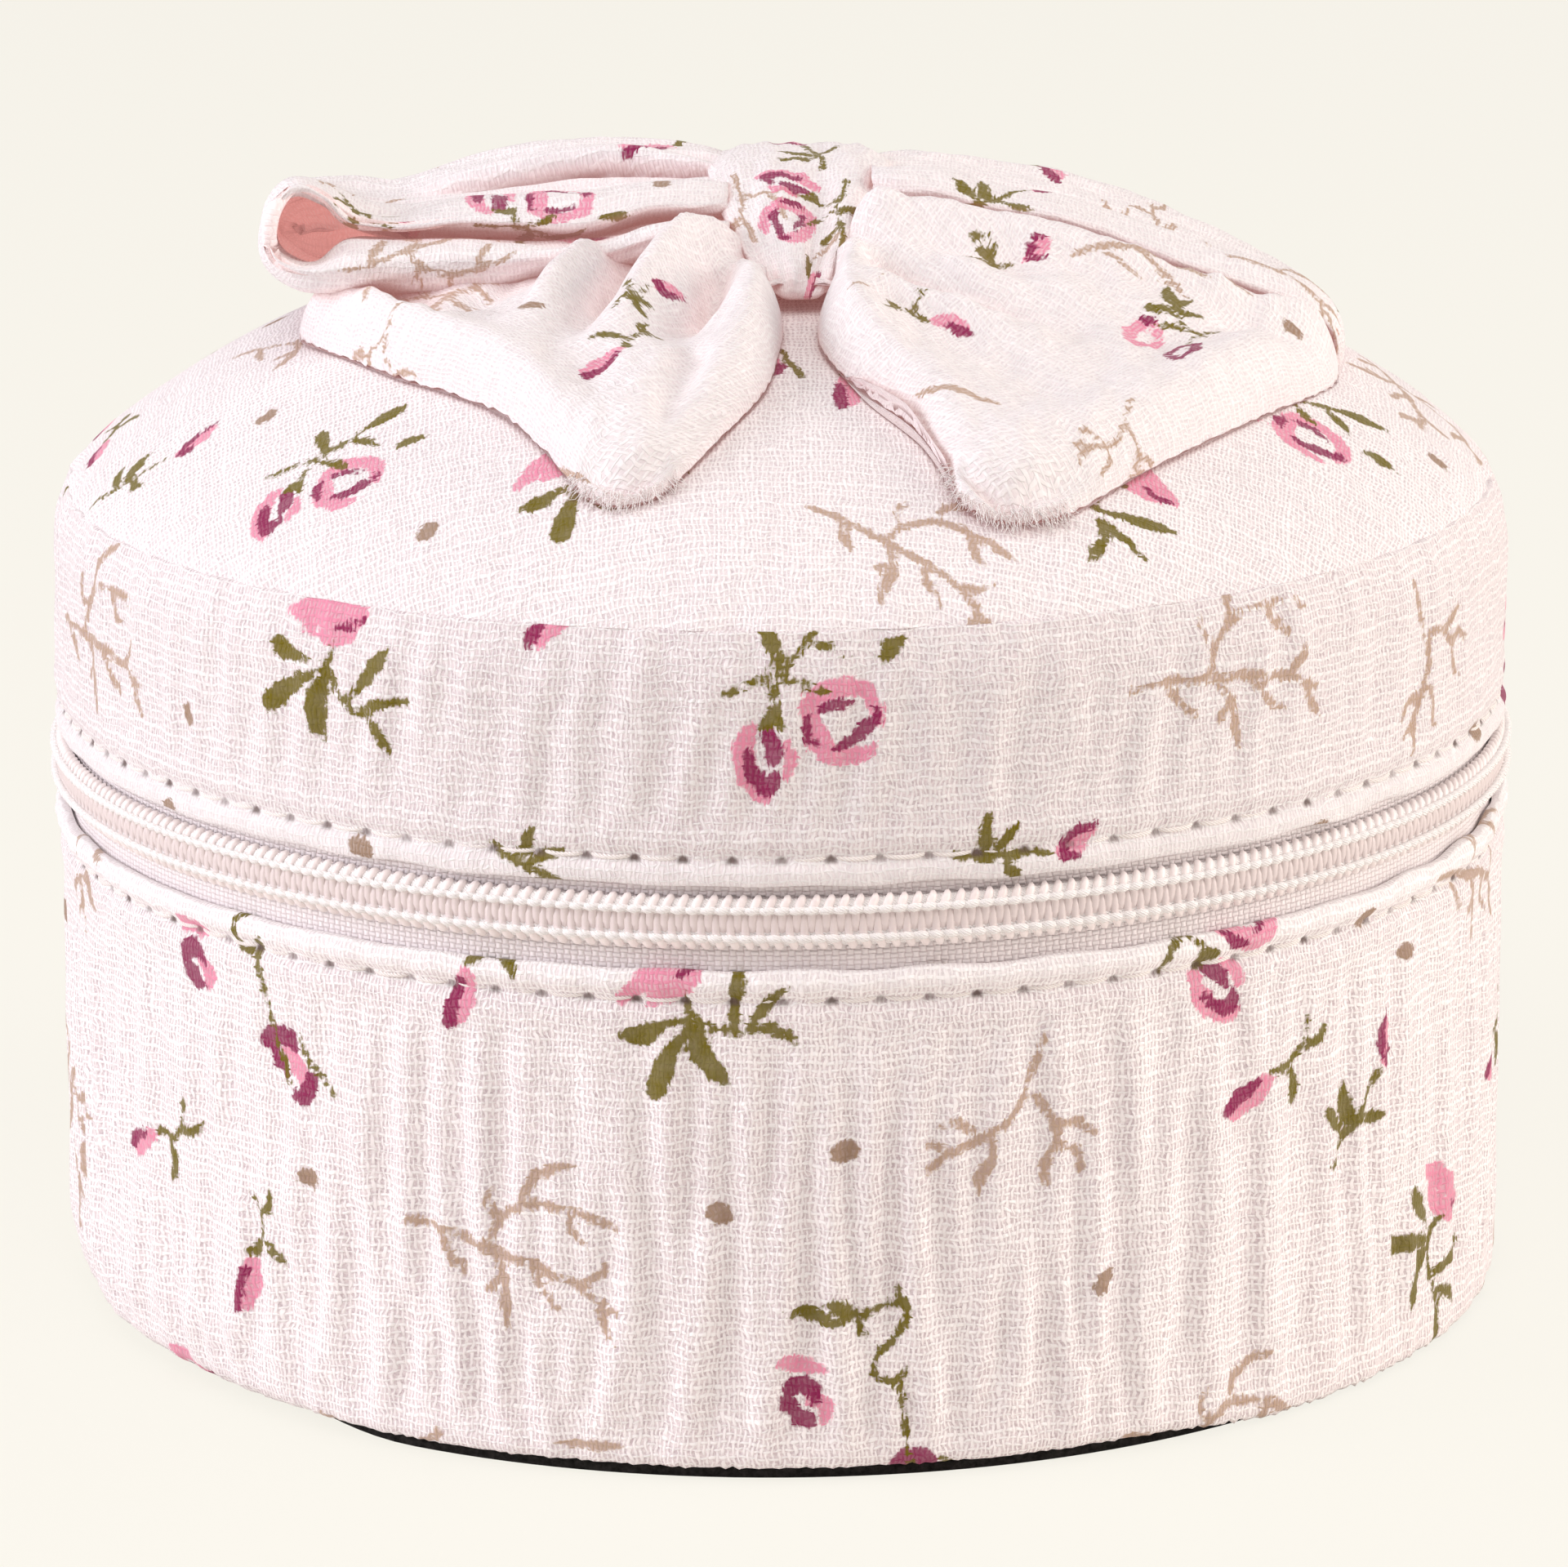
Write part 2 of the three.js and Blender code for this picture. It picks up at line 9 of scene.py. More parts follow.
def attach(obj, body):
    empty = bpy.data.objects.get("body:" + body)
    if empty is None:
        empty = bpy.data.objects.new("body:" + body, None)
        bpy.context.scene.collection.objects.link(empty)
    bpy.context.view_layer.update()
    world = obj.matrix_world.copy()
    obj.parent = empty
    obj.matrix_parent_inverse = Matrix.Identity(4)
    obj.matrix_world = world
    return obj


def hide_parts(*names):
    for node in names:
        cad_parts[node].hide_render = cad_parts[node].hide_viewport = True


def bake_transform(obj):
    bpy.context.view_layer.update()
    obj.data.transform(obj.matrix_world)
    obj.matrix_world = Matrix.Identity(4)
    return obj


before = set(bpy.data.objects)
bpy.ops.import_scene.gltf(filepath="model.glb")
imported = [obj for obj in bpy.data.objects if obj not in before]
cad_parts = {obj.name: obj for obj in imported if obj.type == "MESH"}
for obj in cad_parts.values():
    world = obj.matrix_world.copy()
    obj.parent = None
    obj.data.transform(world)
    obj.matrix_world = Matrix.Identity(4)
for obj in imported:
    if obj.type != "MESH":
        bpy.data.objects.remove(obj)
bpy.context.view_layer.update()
scene = bpy.context.scene
mm = 0.001


def linear(hexColour):
    # sRGB hex to the linear colour that a socket takes
    parts = [int(hexColour[i:i + 2], 16) / 255 for i in (1, 3, 5)]
    return [p / 12.92 if p <= 0.04045 else ((p + 0.055) / 1.055) ** 2.4 for p in parts] + [1]


def add(tree, kind, inputs=None, out=0, **settings):
    # one node with its settings; an input is a value, a colour in hex or another node's output
    node = tree.nodes.new("ShaderNode" + kind)
    for name, value in settings.items():
        setattr(node, name, value)
    for key, value in (inputs or {}).items():
        if isinstance(value, bpy.types.NodeSocket):
            tree.links.new(value, node.inputs[key])
        else:
            node.inputs[key].default_value = linear(value) if isinstance(value, str) else value
    return node.outputs[out]


def startMaterial(name):
    material = bpy.data.materials.new(name)
    material.use_nodes = True
    material.node_tree.nodes.clear()
    return material, material.node_tree


def endMaterial(tree, surface):
    # the surface is a shader or the inputs of a principled one
    if isinstance(surface, dict):
        surface = add(tree, "BsdfPrincipled", surface)
    output = tree.nodes.new("ShaderNodeOutputMaterial")
    tree.links.new(surface, output.inputs["Surface"])


def makePiece(name, bm, material, body, stands=(), smooth=True):
    mesh = bpy.data.meshes.new(name)
    bm.to_mesh(mesh)
    bm.free()
    return keepPiece(name, mesh, material, body, stands, smooth)


def keepPiece(name, mesh, material, body, stands=(), smooth=True):
    piece = bpy.data.objects.new(name, mesh)
    scene.collection.objects.link(piece)
    mesh.materials.append(material)
    mesh.polygons.foreach_set("use_smooth", [smooth] * len(mesh.polygons))
    if body:
        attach(piece, body)
    if stands:
        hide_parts(*stands)
    return piece


def waves(a, b, wave, stretch, count, seed):
    # smooth seeded unevenness, about -1 to 1: wave is its size along a, stretch how much longer it is along b
    chance = random.Random(seed)
    total = np.zeros_like(a, dtype=float)
    for _ in range(count):
        size = wave * chance.uniform(0.7, 1.5)
        lean = chance.uniform(-1, 1) / stretch
        phase = chance.uniform(0, 2 * math.pi)
        bend = 1.2 * np.sin(2 * math.pi * b / (size * stretch * chance.uniform(0.8, 1.6)) + chance.uniform(0, 6.28))
        total += np.sin(2 * math.pi * (a + lean * b) / size + phase + bend)
    return total / math.sqrt(count)


def runAlong(points):
    # the length from the first point to each point
    return np.concatenate([[0], np.cumsum(np.linalg.norm(np.diff(points, axis=0), axis=1))])


def step(value, low, high):
    share = np.clip((value - low) / (high - low), 0, 1)
    return share * share * (3 - 2 * share)


print("camera, lights and floor")
cameraSettings = {
    "place": (0, -0.6126, 0.2006), "yaw": -0.0004, "pitchDown": 0.2556, "roll": -0.0073, "lens": 173.59,
}
cameraData = bpy.data.cameras.new("photo_camera")
cameraData.lens = cameraSettings["lens"]
cameraData.sensor_width = 36
cameraData.clip_start = 0.01
camera = bpy.data.objects.new("photo_camera", cameraData)
scene.collection.objects.link(camera)
camera.matrix_world = (
    Matrix.Translation(cameraSettings["place"])
    @ Matrix.Rotation(cameraSettings["yaw"], 4, "Z")
    @ Matrix.Rotation(math.pi / 2 - cameraSettings["pitchDown"], 4, "X")
    @ Matrix.Rotation(cameraSettings["roll"], 4, "Z")
)
scene.camera = camera
scene.view_settings.view_transform = "Standard"

lightSettings = {
    # name: place in metres, size in metres, power in watts, colour
    "left_softbox": ((-0.90, -0.22, 0.40), 0.7, 6.8, "#F8F6FF"),
    "right_softbox": ((0.94, -0.08, 0.31), 0.7, 6.2, "#FFF7F0"),
    "top_softbox": ((0.0, -0.34, 0.90), 0.8, 3.9, "#FFFBF8"),
    "front_fill": ((0.0, -1.1, 0.5), 0.6, 0.3, "#FFFAFA"),
}
aim = (0, 0, 0.045)
for name, (place, size, power, colour) in lightSettings.items():
    lamp = bpy.data.lights.new(name, "AREA")
    lamp.shape = "DISK"
    lamp.size = size
    lamp.energy = power
    lamp.color = linear(colour)[:3]
    holder = bpy.data.objects.new(name, lamp)
    scene.collection.objects.link(holder)
    away = Matrix.Translation(place).translation - Matrix.Translation(aim).translation
    holder.matrix_world = Matrix.Translation(place) @ away.to_track_quat("Z", "Y").to_matrix().to_4x4()


def seenDirectly(tree):
    # 1 for rays of the camera and of mirrors and glass, 0 for those that only light things
    path = tree.nodes.new("ShaderNodeLightPath").outputs
    direct = add(tree, "Math", {0: path["Is Camera Ray"], 1: path["Is Glossy Ray"]}, operation="MAXIMUM")
    return add(tree, "Math", {0: direct, 1: path["Is Transmission Ray"]}, operation="MAXIMUM")


backdropCream = "#F6F3EA"
world = bpy.data.worlds.new("studio")
scene.world = world
world.use_nodes = True
tree = world.node_tree
tree.nodes.clear()
dim = add(tree, "Background", {"Color": "#FFEFED", "Strength": 0.36})
seen = add(tree, "Background", {"Color": backdropCream, "Strength": 1.0})
both = add(tree, "MixShader", {0: seenDirectly(tree), 1: dim, 2: seen})
output = tree.nodes.new("ShaderNodeOutputWorld")
tree.links.new(both, output.inputs["Surface"])

# Pale table: cream straight from the camera, with part of the real shadow kept
floorMaterial, tree = startMaterial("pale painted table")
lit = add(tree, "BsdfDiffuse", {"Color": "#F1EEE6"})
cream = add(tree, "Emission", {"Color": backdropCream, "Strength": 1.04})
share = add(tree, "Math", {0: seenDirectly(tree), 1: 0.9}, operation="MULTIPLY")
endMaterial(tree, add(tree, "MixShader", {0: share, 1: lit, 2: cream}))
bm = bmesh.new()
bmesh.ops.create_grid(bm, x_segments=2, y_segments=2, size=4)
floor = makePiece("table_top", bm, floorMaterial, None)


print("print and gauze")
# The print is strokes of a brush in mm on the flat cloth; a motif lists each ink's strokes as points (x, y, width)
motifs = {
    "roseSprig": {
        "pink": [
            [(0.7, -1.6, 1.6), (0.9, 0.2, 1.7), (2.2, 1.3, 1.8), (4.6, 1.3, 1.7), (6.2, 0, 1.4), (6.4, -2, 1)],
            [(0.9, -1.4, 1.8), (1.3, -3.2, 2), (2.6, -4.4, 1.8), (4.4, -4.6, 1.2), (5.8, -4, 0.6)],
            [(-4.4, -0.8, 1.3), (-5.3, -2.8, 1.8), (-5.1, -5.2, 1.8), (-4.2, -6.8, 1.5)],
            [(-1.6, -2.4, 0.7), (-1.4, -4.2, 1.2), (-2, -5.4, 0.6)],
        ],
        "magenta": [
            [(0.4, -0.6, 0.5), (0.3, -1.9, 1), (0.9, -3.2, 0.5)],
            [(1.8, -0.1, 0.8), (3.2, 0.2, 0.8), (4.6, -0.2, 0.4)],
            [(2.4, -3.6, 0.6), (4, -3.3, 1), (5.4, -2.2, 1.2)],
            [(6.2, -0.6, 0.3), (6.4, -1.4, 0.8), (6.2, -2.2, 0.3)],
            [(-5, -2.8, 0.7), (-4.8, -4.8, 1.2), (-3.9, -6.2, 1.5), (-2.9, -5.4, 1)],
            [(-3.1, -1.2, 1.1), (-2.7, -2.8, 1.5), (-2.9, -4.2, 0.6)],
        ],
        "olive": [
            [(1.2, 1.9, 1.1), (2.4, 1.2, 0.7)],
            [(1.4, 1.6, 0.55), (-0.6, 2.9, 0.45), (-2.6, 3.3, 0.5), (-6, 2.3, 0.65)],
            [(-1.6, 3.2, 0.45), (0.8, 5, 0.55), (2.9, 7.3, 0.65)],
            [(2.8, 7.1, 0.45), (4.1, 8.4, 1.65), (5.6, 9.8, 1.05), (6.3, 10.5, 0.25)],
            [(-0.4, 4, 0.4), (-1.5, 6, 1.35), (-2.1, 7.6, 0.8), (-2.2, 8.2, 0.25)],
            [(1.6, 5.5, 0.4), (3.4, 4.9, 1.1), (5, 3.9, 0.3)],
            [(7.2, 3, 0.4), (8.4, 3.9, 1.35), (10, 4.5, 0.3)],
            [(-2.4, 3.2, 0.45), (-1.9, 1.6, 0.45), (-2.1, -0.2, 0.65)],
            [(-3.4, -0.8, 0.7), (-2.3, -0.3, 1.35), (-1.7, -1.2, 0.7)],
        ],
    },
    "hangingBuds": {
        "olive": [
            [(-6.4, 9.4, 0.35), (-4.6, 9, 1.5), (-2.8, 8, 1.1), (-2, 7.6, 0.4)],
            [(-2.4, 9.6, 0.35), (-1.4, 9, 1.3), (-0.2, 7.8, 0.5)],
            [(-2.4, 7.4, 0.5), (-0.6, 7.6, 0.5), (1.6, 8, 0.5), (3.6, 7.8, 0.5), (4.6, 6.8, 0.6)],
            [(4, 9.6, 0.45), (4.4, 7.6, 0.7), (4.2, 6.2, 0.45)],
            [(0.6, 8, 0.55), (0, 6.6, 1.2), (0.2, 5.4, 0.45)],
            [(4.3, 6.6, 0.55), (2.6, 4.6, 0.55), (0.8, 3.6, 0.55), (0.4, 1.6, 0.65), (2.2, 0.3, 0.65), (2, -3, 0.55),
             (1.8, -6, 0.55)],
            [(2.2, 0.3, 0.45), (3.2, 1.8, 0.55)],
            [(1.6, -7, 0.7), (2, -9.2, 0.85), (1.9, -11, 0.45)],
            [(4.6, -7.4, 0.45), (5.6, -10.4, 0.8), (6.8, -13, 0.55)],
        ],
        "magenta": [
            [(0.8, -7, 1.6), (1.6, -6.6, 1.8), (3.2, -7, 1.6), (3.8, -8.2, 1)],
            [(1, -7.4, 1.2), (1.4, -9, 1.4), (2, -10.2, 0.9)],
            [(2.6, -12.2, 1), (4, -12.3, 1.5), (5, -10.9, 1)],
            [(-7.8, 1.6, 1), (-6.8, 2.6, 1.8), (-5.4, 1.8, 1.4), (-5.2, 0.8, 0.8)],
            [(-7.9, 1.4, 1), (-7.2, -0.4, 1.6), (-5.9, -1, 1)],
        ],
        "pink": [
            [(2.8, -8.2, 1.6), (3.6, -9.8, 1.8), (4.2, -11.4, 1.6)],
            [(-7.4, 4.9, 1), (-5.6, 4.2, 1.3), (-4, 3.4, 0.8)],
            [(-5.6, 1.2, 1.4), (-4.6, 0, 1.4), (-5.2, -1.2, 0.8)],
        ],
    },
    "budSprig": {
        "pink": [[(0.2, 3.4, 1.4), (-0.6, 1.8, 2), (-1.8, 0.4, 2)]],
        "magenta": [[(-0.6, 3, 0.7), (-1.8, 1.4, 0.9), (-2.6, -0.2, 1.1)]],
        "olive": [
            [(0.6, 4.4, 0.8), (2.4, 5.4, 0.55), (3.2, 7.4, 0.55), (2.4, 9.6, 0.55)],
            [(2.4, 5.2, 0.45), (3.9, 4.2, 1.05), (4.4, 2.6, 0.45)],
            [(3.1, 7.2, 0.4), (4.6, 8.2, 0.95), (5, 9.6, 0.3)],
        ],
    },
    "leafSprig": {
        "olive": [
            [(-4.8, -2.2, 0.45), (-1.8, -1.2, 0.55), (1, 0.4, 0.55), (3.4, 1.4, 0.45)],
            [(-1.8, -1.2, 0.4), (-3, 0.8, 1.1), (-3.4, 2.4, 0.4)],
            [(-1.2, -0.9, 0.4), (-1, 1.2, 1.25), (-0.4, 2.8, 0.4)],
            [(-0.4, -0.6, 0.4), (1.2, -1.8, 1.05), (2.6, -2.2, 0.4)],
        ],
        "pink": [[(4.6, 1.8, 1.4), (5.6, 3, 1.7), (6.2, 4.6, 1.1)]],
        "magenta": [
            [(4.4, 2.6, 0.9), (5, 4, 0.8), (6.4, 5.2, 0.6)],
            [(4.7, 1.6, 1), (5.9, 1.9, 0.7)],
        ],
    },
    "leafBunch": {
        "pink": [
            [(-4.6, 4.4, 1), (-2, 4.9, 2), (1, 4.6, 2.4), (3.4, 4.8, 1.2)],
            [(-2.4, 3.2, 1.2), (0.4, 2.7, 1.8), (2.6, 3.2, 1)],
        ],
        "magenta": [[(0.8, 3.6, 0.6), (2.6, 3.8, 0.9), (3.6, 4.6, 0.5)]],
        "olive": [
            [(0.2, 2, 0.45), (-0.2, -0.4, 0.55), (1.8, -3.2, 0.55), (5, -4.6, 0.55)],
            [(-0.3, -0.4, 0.45), (-2.6, 0.6, 0.45), (-5.2, 1, 1.9), (-6.8, 2, 0.4)],
            [(-0.2, -0.8, 0.45), (-1.6, -2.8, 2), (-1.6, -5.2, 1.5), (-1.2, -6.6, 0.4)],
            [(-0.6, -0.4, 0.45), (-3.6, -1.6, 1.2), (-6.6, -3.4, 2), (-7.6, -4.2, 0.4)],
            [(1.8, -3, 0.4), (3.6, -1, 1.05), (5.2, 0.8, 1.45), (6.4, 2.2, 0.3)],
            [(3, -3.6, 0.4), (5.6, -2.8, 0.95), (8, -2.4, 0.4)],
            [(4.2, -4.2, 0.4), (5.4, -6, 0.95), (6, -7.4, 0.3)],
        ],
    },
    "ovalPair": {
        "pink": [[(-1.2, 3, 1.1), (0.8, 4, 1.1), (3.4, 4, 1.1), (4.8, 3, 1.1), (3.2, 1.9, 1), (0.6, 1.8, 1),
                  (-1.2, 2.8, 1)]],
        "magenta": [
            [(4.6, 3.7, 1.4), (5.4, 3.3, 0.8)],
            [(0.8, 2.2, 0.5), (1.6, 2.5, 0.5)],
            [(-3.4, -2.2, 0.8), (-1.4, -0.7, 1), (1.2, -0.9, 1.1), (2, -1.9, 1), (-0.2, -2.9, 1), (-3.2, -2.4, 0.8)],
        ],
        "olive": [
            [(2.4, -1.4, 0.85), (4.6, -0.8, 0.45), (6.6, -1.2, 0.45), (8.8, -2, 0.4)],
            [(4.9, 2.4, 0.8), (5.9, 1.4, 0.45), (6.8, -0.4, 0.55), (7.6, -1.4, 0.45)],
            [(6.4, 0.4, 0.4), (8.4, 2, 0.55), (10.2, 3.4, 1.35), (12.4, 4.2, 0.4)],
            [(8.2, 1.8, 0.4), (7, 3.4, 1.05), (5.9, 4.3, 0.3)],
            [(8.4, 2, 0.4), (9, 0.6, 0.7), (10, -0.4, 0.3)],
            [(8.6, 2, 0.4), (10.4, 1.7, 0.55), (12.2, 1.8, 0.3)],
        ],
    },
    "twig": {
        "beige": [
            [(-8, 4.6, 0.65), (-5, 3.2, 0.6), (-1.6, 0.6, 0.65), (1.8, -1.6, 0.75), (5, -4.4, 0.65),
             (7.6, -7.8, 0.6)],
            [(-5.2, 3.2, 0.5), (-5, 0.9, 0.8), (-4.4, -1.2, 0.4)],
            [(-1.6, 0.6, 0.5), (0.4, 2.6, 0.6), (3.2, 3.4, 0.6), (6.4, 2.2, 0.6), (8.8, 0.6, 0.75), (10.4, -1, 0.4)],
            [(0.2, 2.4, 0.4), (0, 4.4, 0.6), (0.8, 5.6, 0.35)],
            [(3, 3.4, 0.4), (4.4, 5.2, 0.75), (6.8, 5.8, 0.65), (8.6, 5.4, 0.4)],
            [(6.6, 2, 0.4), (6.6, 0.2, 0.9), (7.4, -1.6, 0.4)],
            [(-1.2, 0.2, 0.4), (-0.8, -2.4, 0.75), (-1.6, -4.6, 0.8), (-2.2, -6.4, 0.35)],
            [(-1, -2.2, 0.35), (-2.4, -2.8, 0.75)],
            [(1.8, -1.6, 0.4), (2.2, -4.2, 0.8), (3.2, -6.6, 0.4)],
            [(5, -4.4, 0.4), (7, -4.4, 0.75), (8.2, -3.6, 0.4)],
            [(6.6, -6.4, 0.5), (6.2, -8.6, 0.75), (6.6, -10.2, 0.35)],
        ],
    },
    "forkTwig": {
        "beige": [
            [(0, 6.4, 0.5), (-0.4, 3, 0.55), (-0.9, -0.6, 0.6), (-3.2, -3.6, 0.6), (-5.6, -5.2, 0.75),
             (-7, -7.2, 0.5)],
            [(-0.6, 1.2, 0.4), (2.2, -0.4, 0.6), (3.4, -2.8, 0.75), (5.4, -3.2, 0.6), (6.4, -4.8, 0.4)],
            [(2.8, -1.4, 0.4), (5.2, -0.8, 0.8), (6.8, -1.6, 0.4)],
            [(3.4, -2.8, 0.4), (3, -5, 0.85), (3.6, -6.6, 0.4)],
            [(-2.6, -2.9, 0.4), (-2, -5.2, 0.8), (-2.6, -7, 0.65), (-2.2, -8.4, 0.35)],
            [(-3.4, -3.7, 0.4), (-5.6, -2.6, 0.75), (-7.2, -3.2, 0.4)],
            [(-5.4, -5.2, 0.5), (-7.6, -4.9, 0.65)],
        ],
    },
    "dot": {
        "tan": [[(-0.3, 0, 1.6), (0.4, 0.1, 1.5)]],
    },
    "dash": {
        "beige": [[(-2.6, 0.8, 0.4), (0, 0, 0.7), (2.6, -1, 0.5)]],
    },
}
inkOrder = ("pink", "magenta", "olive", "beige", "tan")
# how far from a stroke distances are kept, and the farthest that a motif reaches, in mm
inkReach, motifSize = 3.0, 16


def softened(points, parts=3):
    # a smooth curve through the points, with some more points between each pair
    line = np.array(points, float)
    padded = np.vstack([2 * line[0] - line[1], line, 2 * line[-1] - line[-2]])
    smooth = []
    for i in range(1, len(padded) - 2):
        a, b, c, d = padded[i - 1:i + 3]
        for t in np.arange(parts) / parts:
            bend, twist = 2 * a - 5 * b + 4 * c - d, 3 * b - a - 3 * c + d
            smooth.append(0.5 * (2 * b + (c - a) * t + bend * t ** 2 + twist * t ** 3))
    smooth.append(line[-1])
    return np.array(smooth)


motifStrokes = {
    name: [(ink, softened(points)) for ink, strokes in inks.items() for points in strokes]
    for name, inks in motifs.items()
}


def printDistances(flat, placed, around=None):
    # distance in mm from each point of the flat cloth to the nearest stroke of each ink
    far = np.full((len(flat), len(inkOrder)), inkReach)
    wobble = np.stack([waves(flat[:, 0], flat[:, 1], 2.6, 1, 5, 11), waves(flat[:, 1], flat[:, 0], 2.6, 1, 5, 12)], 1)
    cloth = flat + 0.13 * wobble
    for name, x, y, turn, size in placed:
        for shift in ((0, -around, around) if around else (0,)):
            away = cloth - (x + shift, y)
            near = np.nonzero(np.abs(away).max(1) < motifSize * size)[0]
            if not len(near):
                continue
            cos, sin = math.cos(math.radians(turn)), math.sin(math.radians(turn))
            local = away[near] @ np.array([[cos, -sin], [sin, cos]]) / size
            for ink, line in motifStrokes[name]:
                best = np.full(len(near), inkReach)
                for a, b in zip(line[:-1], line[1:]):
                    run = b[:2] - a[:2]
                    share = np.clip((local - a[:2]) @ run / max(run @ run, 1e-9), 0, 1)
                    gap = np.linalg.norm(local - a[:2] - share[:, None] * run, axis=1)
                    best = np.minimum(best, gap - (a[2] + (b[2] - a[2]) * share) / 2)
                column = inkOrder.index(ink)
                far[near, column] = np.minimum(far[near, column], best * size)
    return far


# half the room in mm that each motif takes
motifReach = {
    "roseSprig": 9.6, "twig": 9.4, "hangingBuds": 11.5, "forkTwig": 8.0, "leafBunch": 8.2, "ovalPair": 9.0,
    "budSprig": 5.4, "leafSprig": 5.8, "dash": 3.0, "dot": 1.4,
}


def scatter(width, height, counts, seed, left=0.0, bottom=0.0, inside=None, around=None):
    # motifs over a flat cloth, the large ones first: each takes the roomiest of 60 random places; the counts are in
    # motifReach's order
    chance = random.Random(seed)
    placed = []
    kinds = [kind for kind, count in zip(motifReach, counts) for _ in range(count)]
    kinds.sort(key=lambda kind: -motifReach[kind])
    for kind in kinds:
        best = None
        for _ in range(60):
            x, y = left + chance.random() * width, bottom + chance.random() * height
            if inside and not inside(x, y):
                continue
            room = 8.0
            for other, otherX, otherY, _, _ in placed:
                away = abs(x - otherX)
                if around:
                    away = min(away, around - away)
                room = min(room, math.hypot(away, y - otherY) - motifReach[kind] - motifReach[other])
            if best is None or room > best[0]:
                best = (room, x, y)
        placed.append((kind, best[1], best[2], chance.uniform(-50, 50), 0.92 * chance.uniform(0.92, 1.08)))
    return placed


def printedGauze(name, stitchEvery=0.0, fluff=0.0, paintedCreaseGlow=0.0, glow=0.0, tone=1.0, loose=1.0):
    # Cotton double gauze: two open plain weaves on each other. The threads are matt and slightly fuzzy, the gaps
    # between them look pinkish grey, and the print sits on the threads only, so its edges break at each thread.
    # Where the cloth is fluffed up its gaps close. Its creases get a painted pink glow, an emission that grows where
    # ambient occlusion closes in, standing for light that scatters in the cloth, and the deepest creases are painted
    # darker; glow, when given, is a painted glow over all the cloth.
    gauzeLook = {
        "warp": "#FDF9F9", "weft": "#FFFDFD", "gap": "#E2D6D8", "deepGap": "#C4B4B9", "hole": "#6A5853",
        "pink": "#E47C9E", "magenta": "#8A1C50", "olive": "#6E6202", "beige": "#B08F72", "tan": "#947558",
        "paintedGlowColour": "#F09C94", "warpPitch": 0.385, "weftPitch": 0.64, "warpHalf": (0.25, 0.38),
        "weftHalf": (0.17, 0.29), "hemsMiddle": 44.9,
    }
    material, tree = startMaterial(name)
    flat = add(tree, "UVMap", uv_map="threads")
    if stitchEvery:
        # the folded edges beside the zip are brushed up
        place = add(tree, "TexCoord", out="Object")
        place = add(tree, "SeparateXYZ", {0: place}, out="Z")
        toZip = add(tree, "Math", {0: place, 1: gauzeLook["hemsMiddle"] * mm}, operation="SUBTRACT")
        toZip = add(tree, "Math", {0: toZip}, operation="ABSOLUTE")
        fluff = add(tree, "MapRange", {0: toZip, 1: 4.4 * mm, 2: 5.9 * mm, 3: 0.42, 4: 0.0},
                    interpolation_type="SMOOTHSTEP")
    drift = add(tree, "TexNoise", {"Vector": flat, "Scale": 0.45, "Detail": 2.0}, out="Color")
    drift = add(tree, "VectorMath", {0: drift, 1: (0.5, 0.5, 0.5)}, operation="SUBTRACT")
    flatMoved = add(tree, "VectorMath", {0: drift, 1: (1.1, 1.1, 0), 2: flat}, operation="MULTIPLY_ADD")
    jitter = add(tree, "TexNoise", {"Vector": flat, "Scale": 1.7, "Detail": 1.0}, out="Color")
    jitter = add(tree, "VectorMath", {0: jitter, 1: (0.5, 0.5, 0.5)}, operation="SUBTRACT")
    flatMoved = add(tree, "VectorMath", {0: jitter, 1: (0.26 * loose, 0.24 * loose, 0), 2: flatMoved},
                    operation="MULTIPLY_ADD")
    pitch = (1 / gauzeLook["warpPitch"], 1 / gauzeLook["weftPitch"], 0)
    cell = add(tree, "VectorMath", {0: flatMoved, 1: pitch}, operation="MULTIPLY")
    parts = add(tree, "SeparateXYZ", {0: cell}).node
    # each thread has its own thickness
    threadNumber = add(tree, "VectorMath", {0: cell}, operation="FLOOR")
    number = add(tree, "SeparateXYZ", {0: threadNumber}).node
    covers, owns = [], []
    for axis, (thin, thick) in (("X", gauzeLook["warpHalf"]), ("Y", gauzeLook["weftHalf"])):
        own = add(tree, "TexWhiteNoise", {"W": number.outputs[axis]}, noise_dimensions="1D")
        owns.append(own)
        half = add(tree, "MapRange", {0: own, 3: thin, 4: thick})
        across = add(tree, "Math", {0: parts.outputs[axis]}, operation="FRACT")
        across = add(tree, "Math", {0: across, 1: 0.5}, operation="SUBTRACT")
        across = add(tree, "Math", {0: across}, operation="ABSOLUTE")
        inner = add(tree, "Math", {0: half, 1: 0.14}, operation="SUBTRACT")
        covers.append(add(tree, "MapRange", {0: across, 1: inner, 2: half, 3: 1.0, 4: 0.0},
                          interpolation_type="SMOOTHSTEP"))
    # over and under: the product of two sines changes sign from one crossing to the next
    swings = []
    for axis in ("X", "Y"):
        turn = add(tree, "Math", {0: parts.outputs[axis], 1: math.pi}, operation="MULTIPLY")
        swings.append(add(tree, "Math", {0: turn}, operation="SINE"))
    swing = add(tree, "Math", {0: swings[0], 1: swings[1]}, operation="MULTIPLY")
    overWarp = add(tree, "Math", {0: swing, 1: 0.36, 2: 0.66}, operation="MULTIPLY_ADD")
    overWeft = add(tree, "Math", {0: swing, 1: -0.40, 2: 0.60}, operation="MULTIPLY_ADD")
    warp = add(tree, "Math", {0: covers[0], 1: overWarp}, operation="MULTIPLY")
    weft = add(tree, "Math", {0: covers[1], 1: overWeft}, operation="MULTIPLY")
    height = add(tree, "Math", {0: warp, 1: weft}, operation="MAXIMUM")
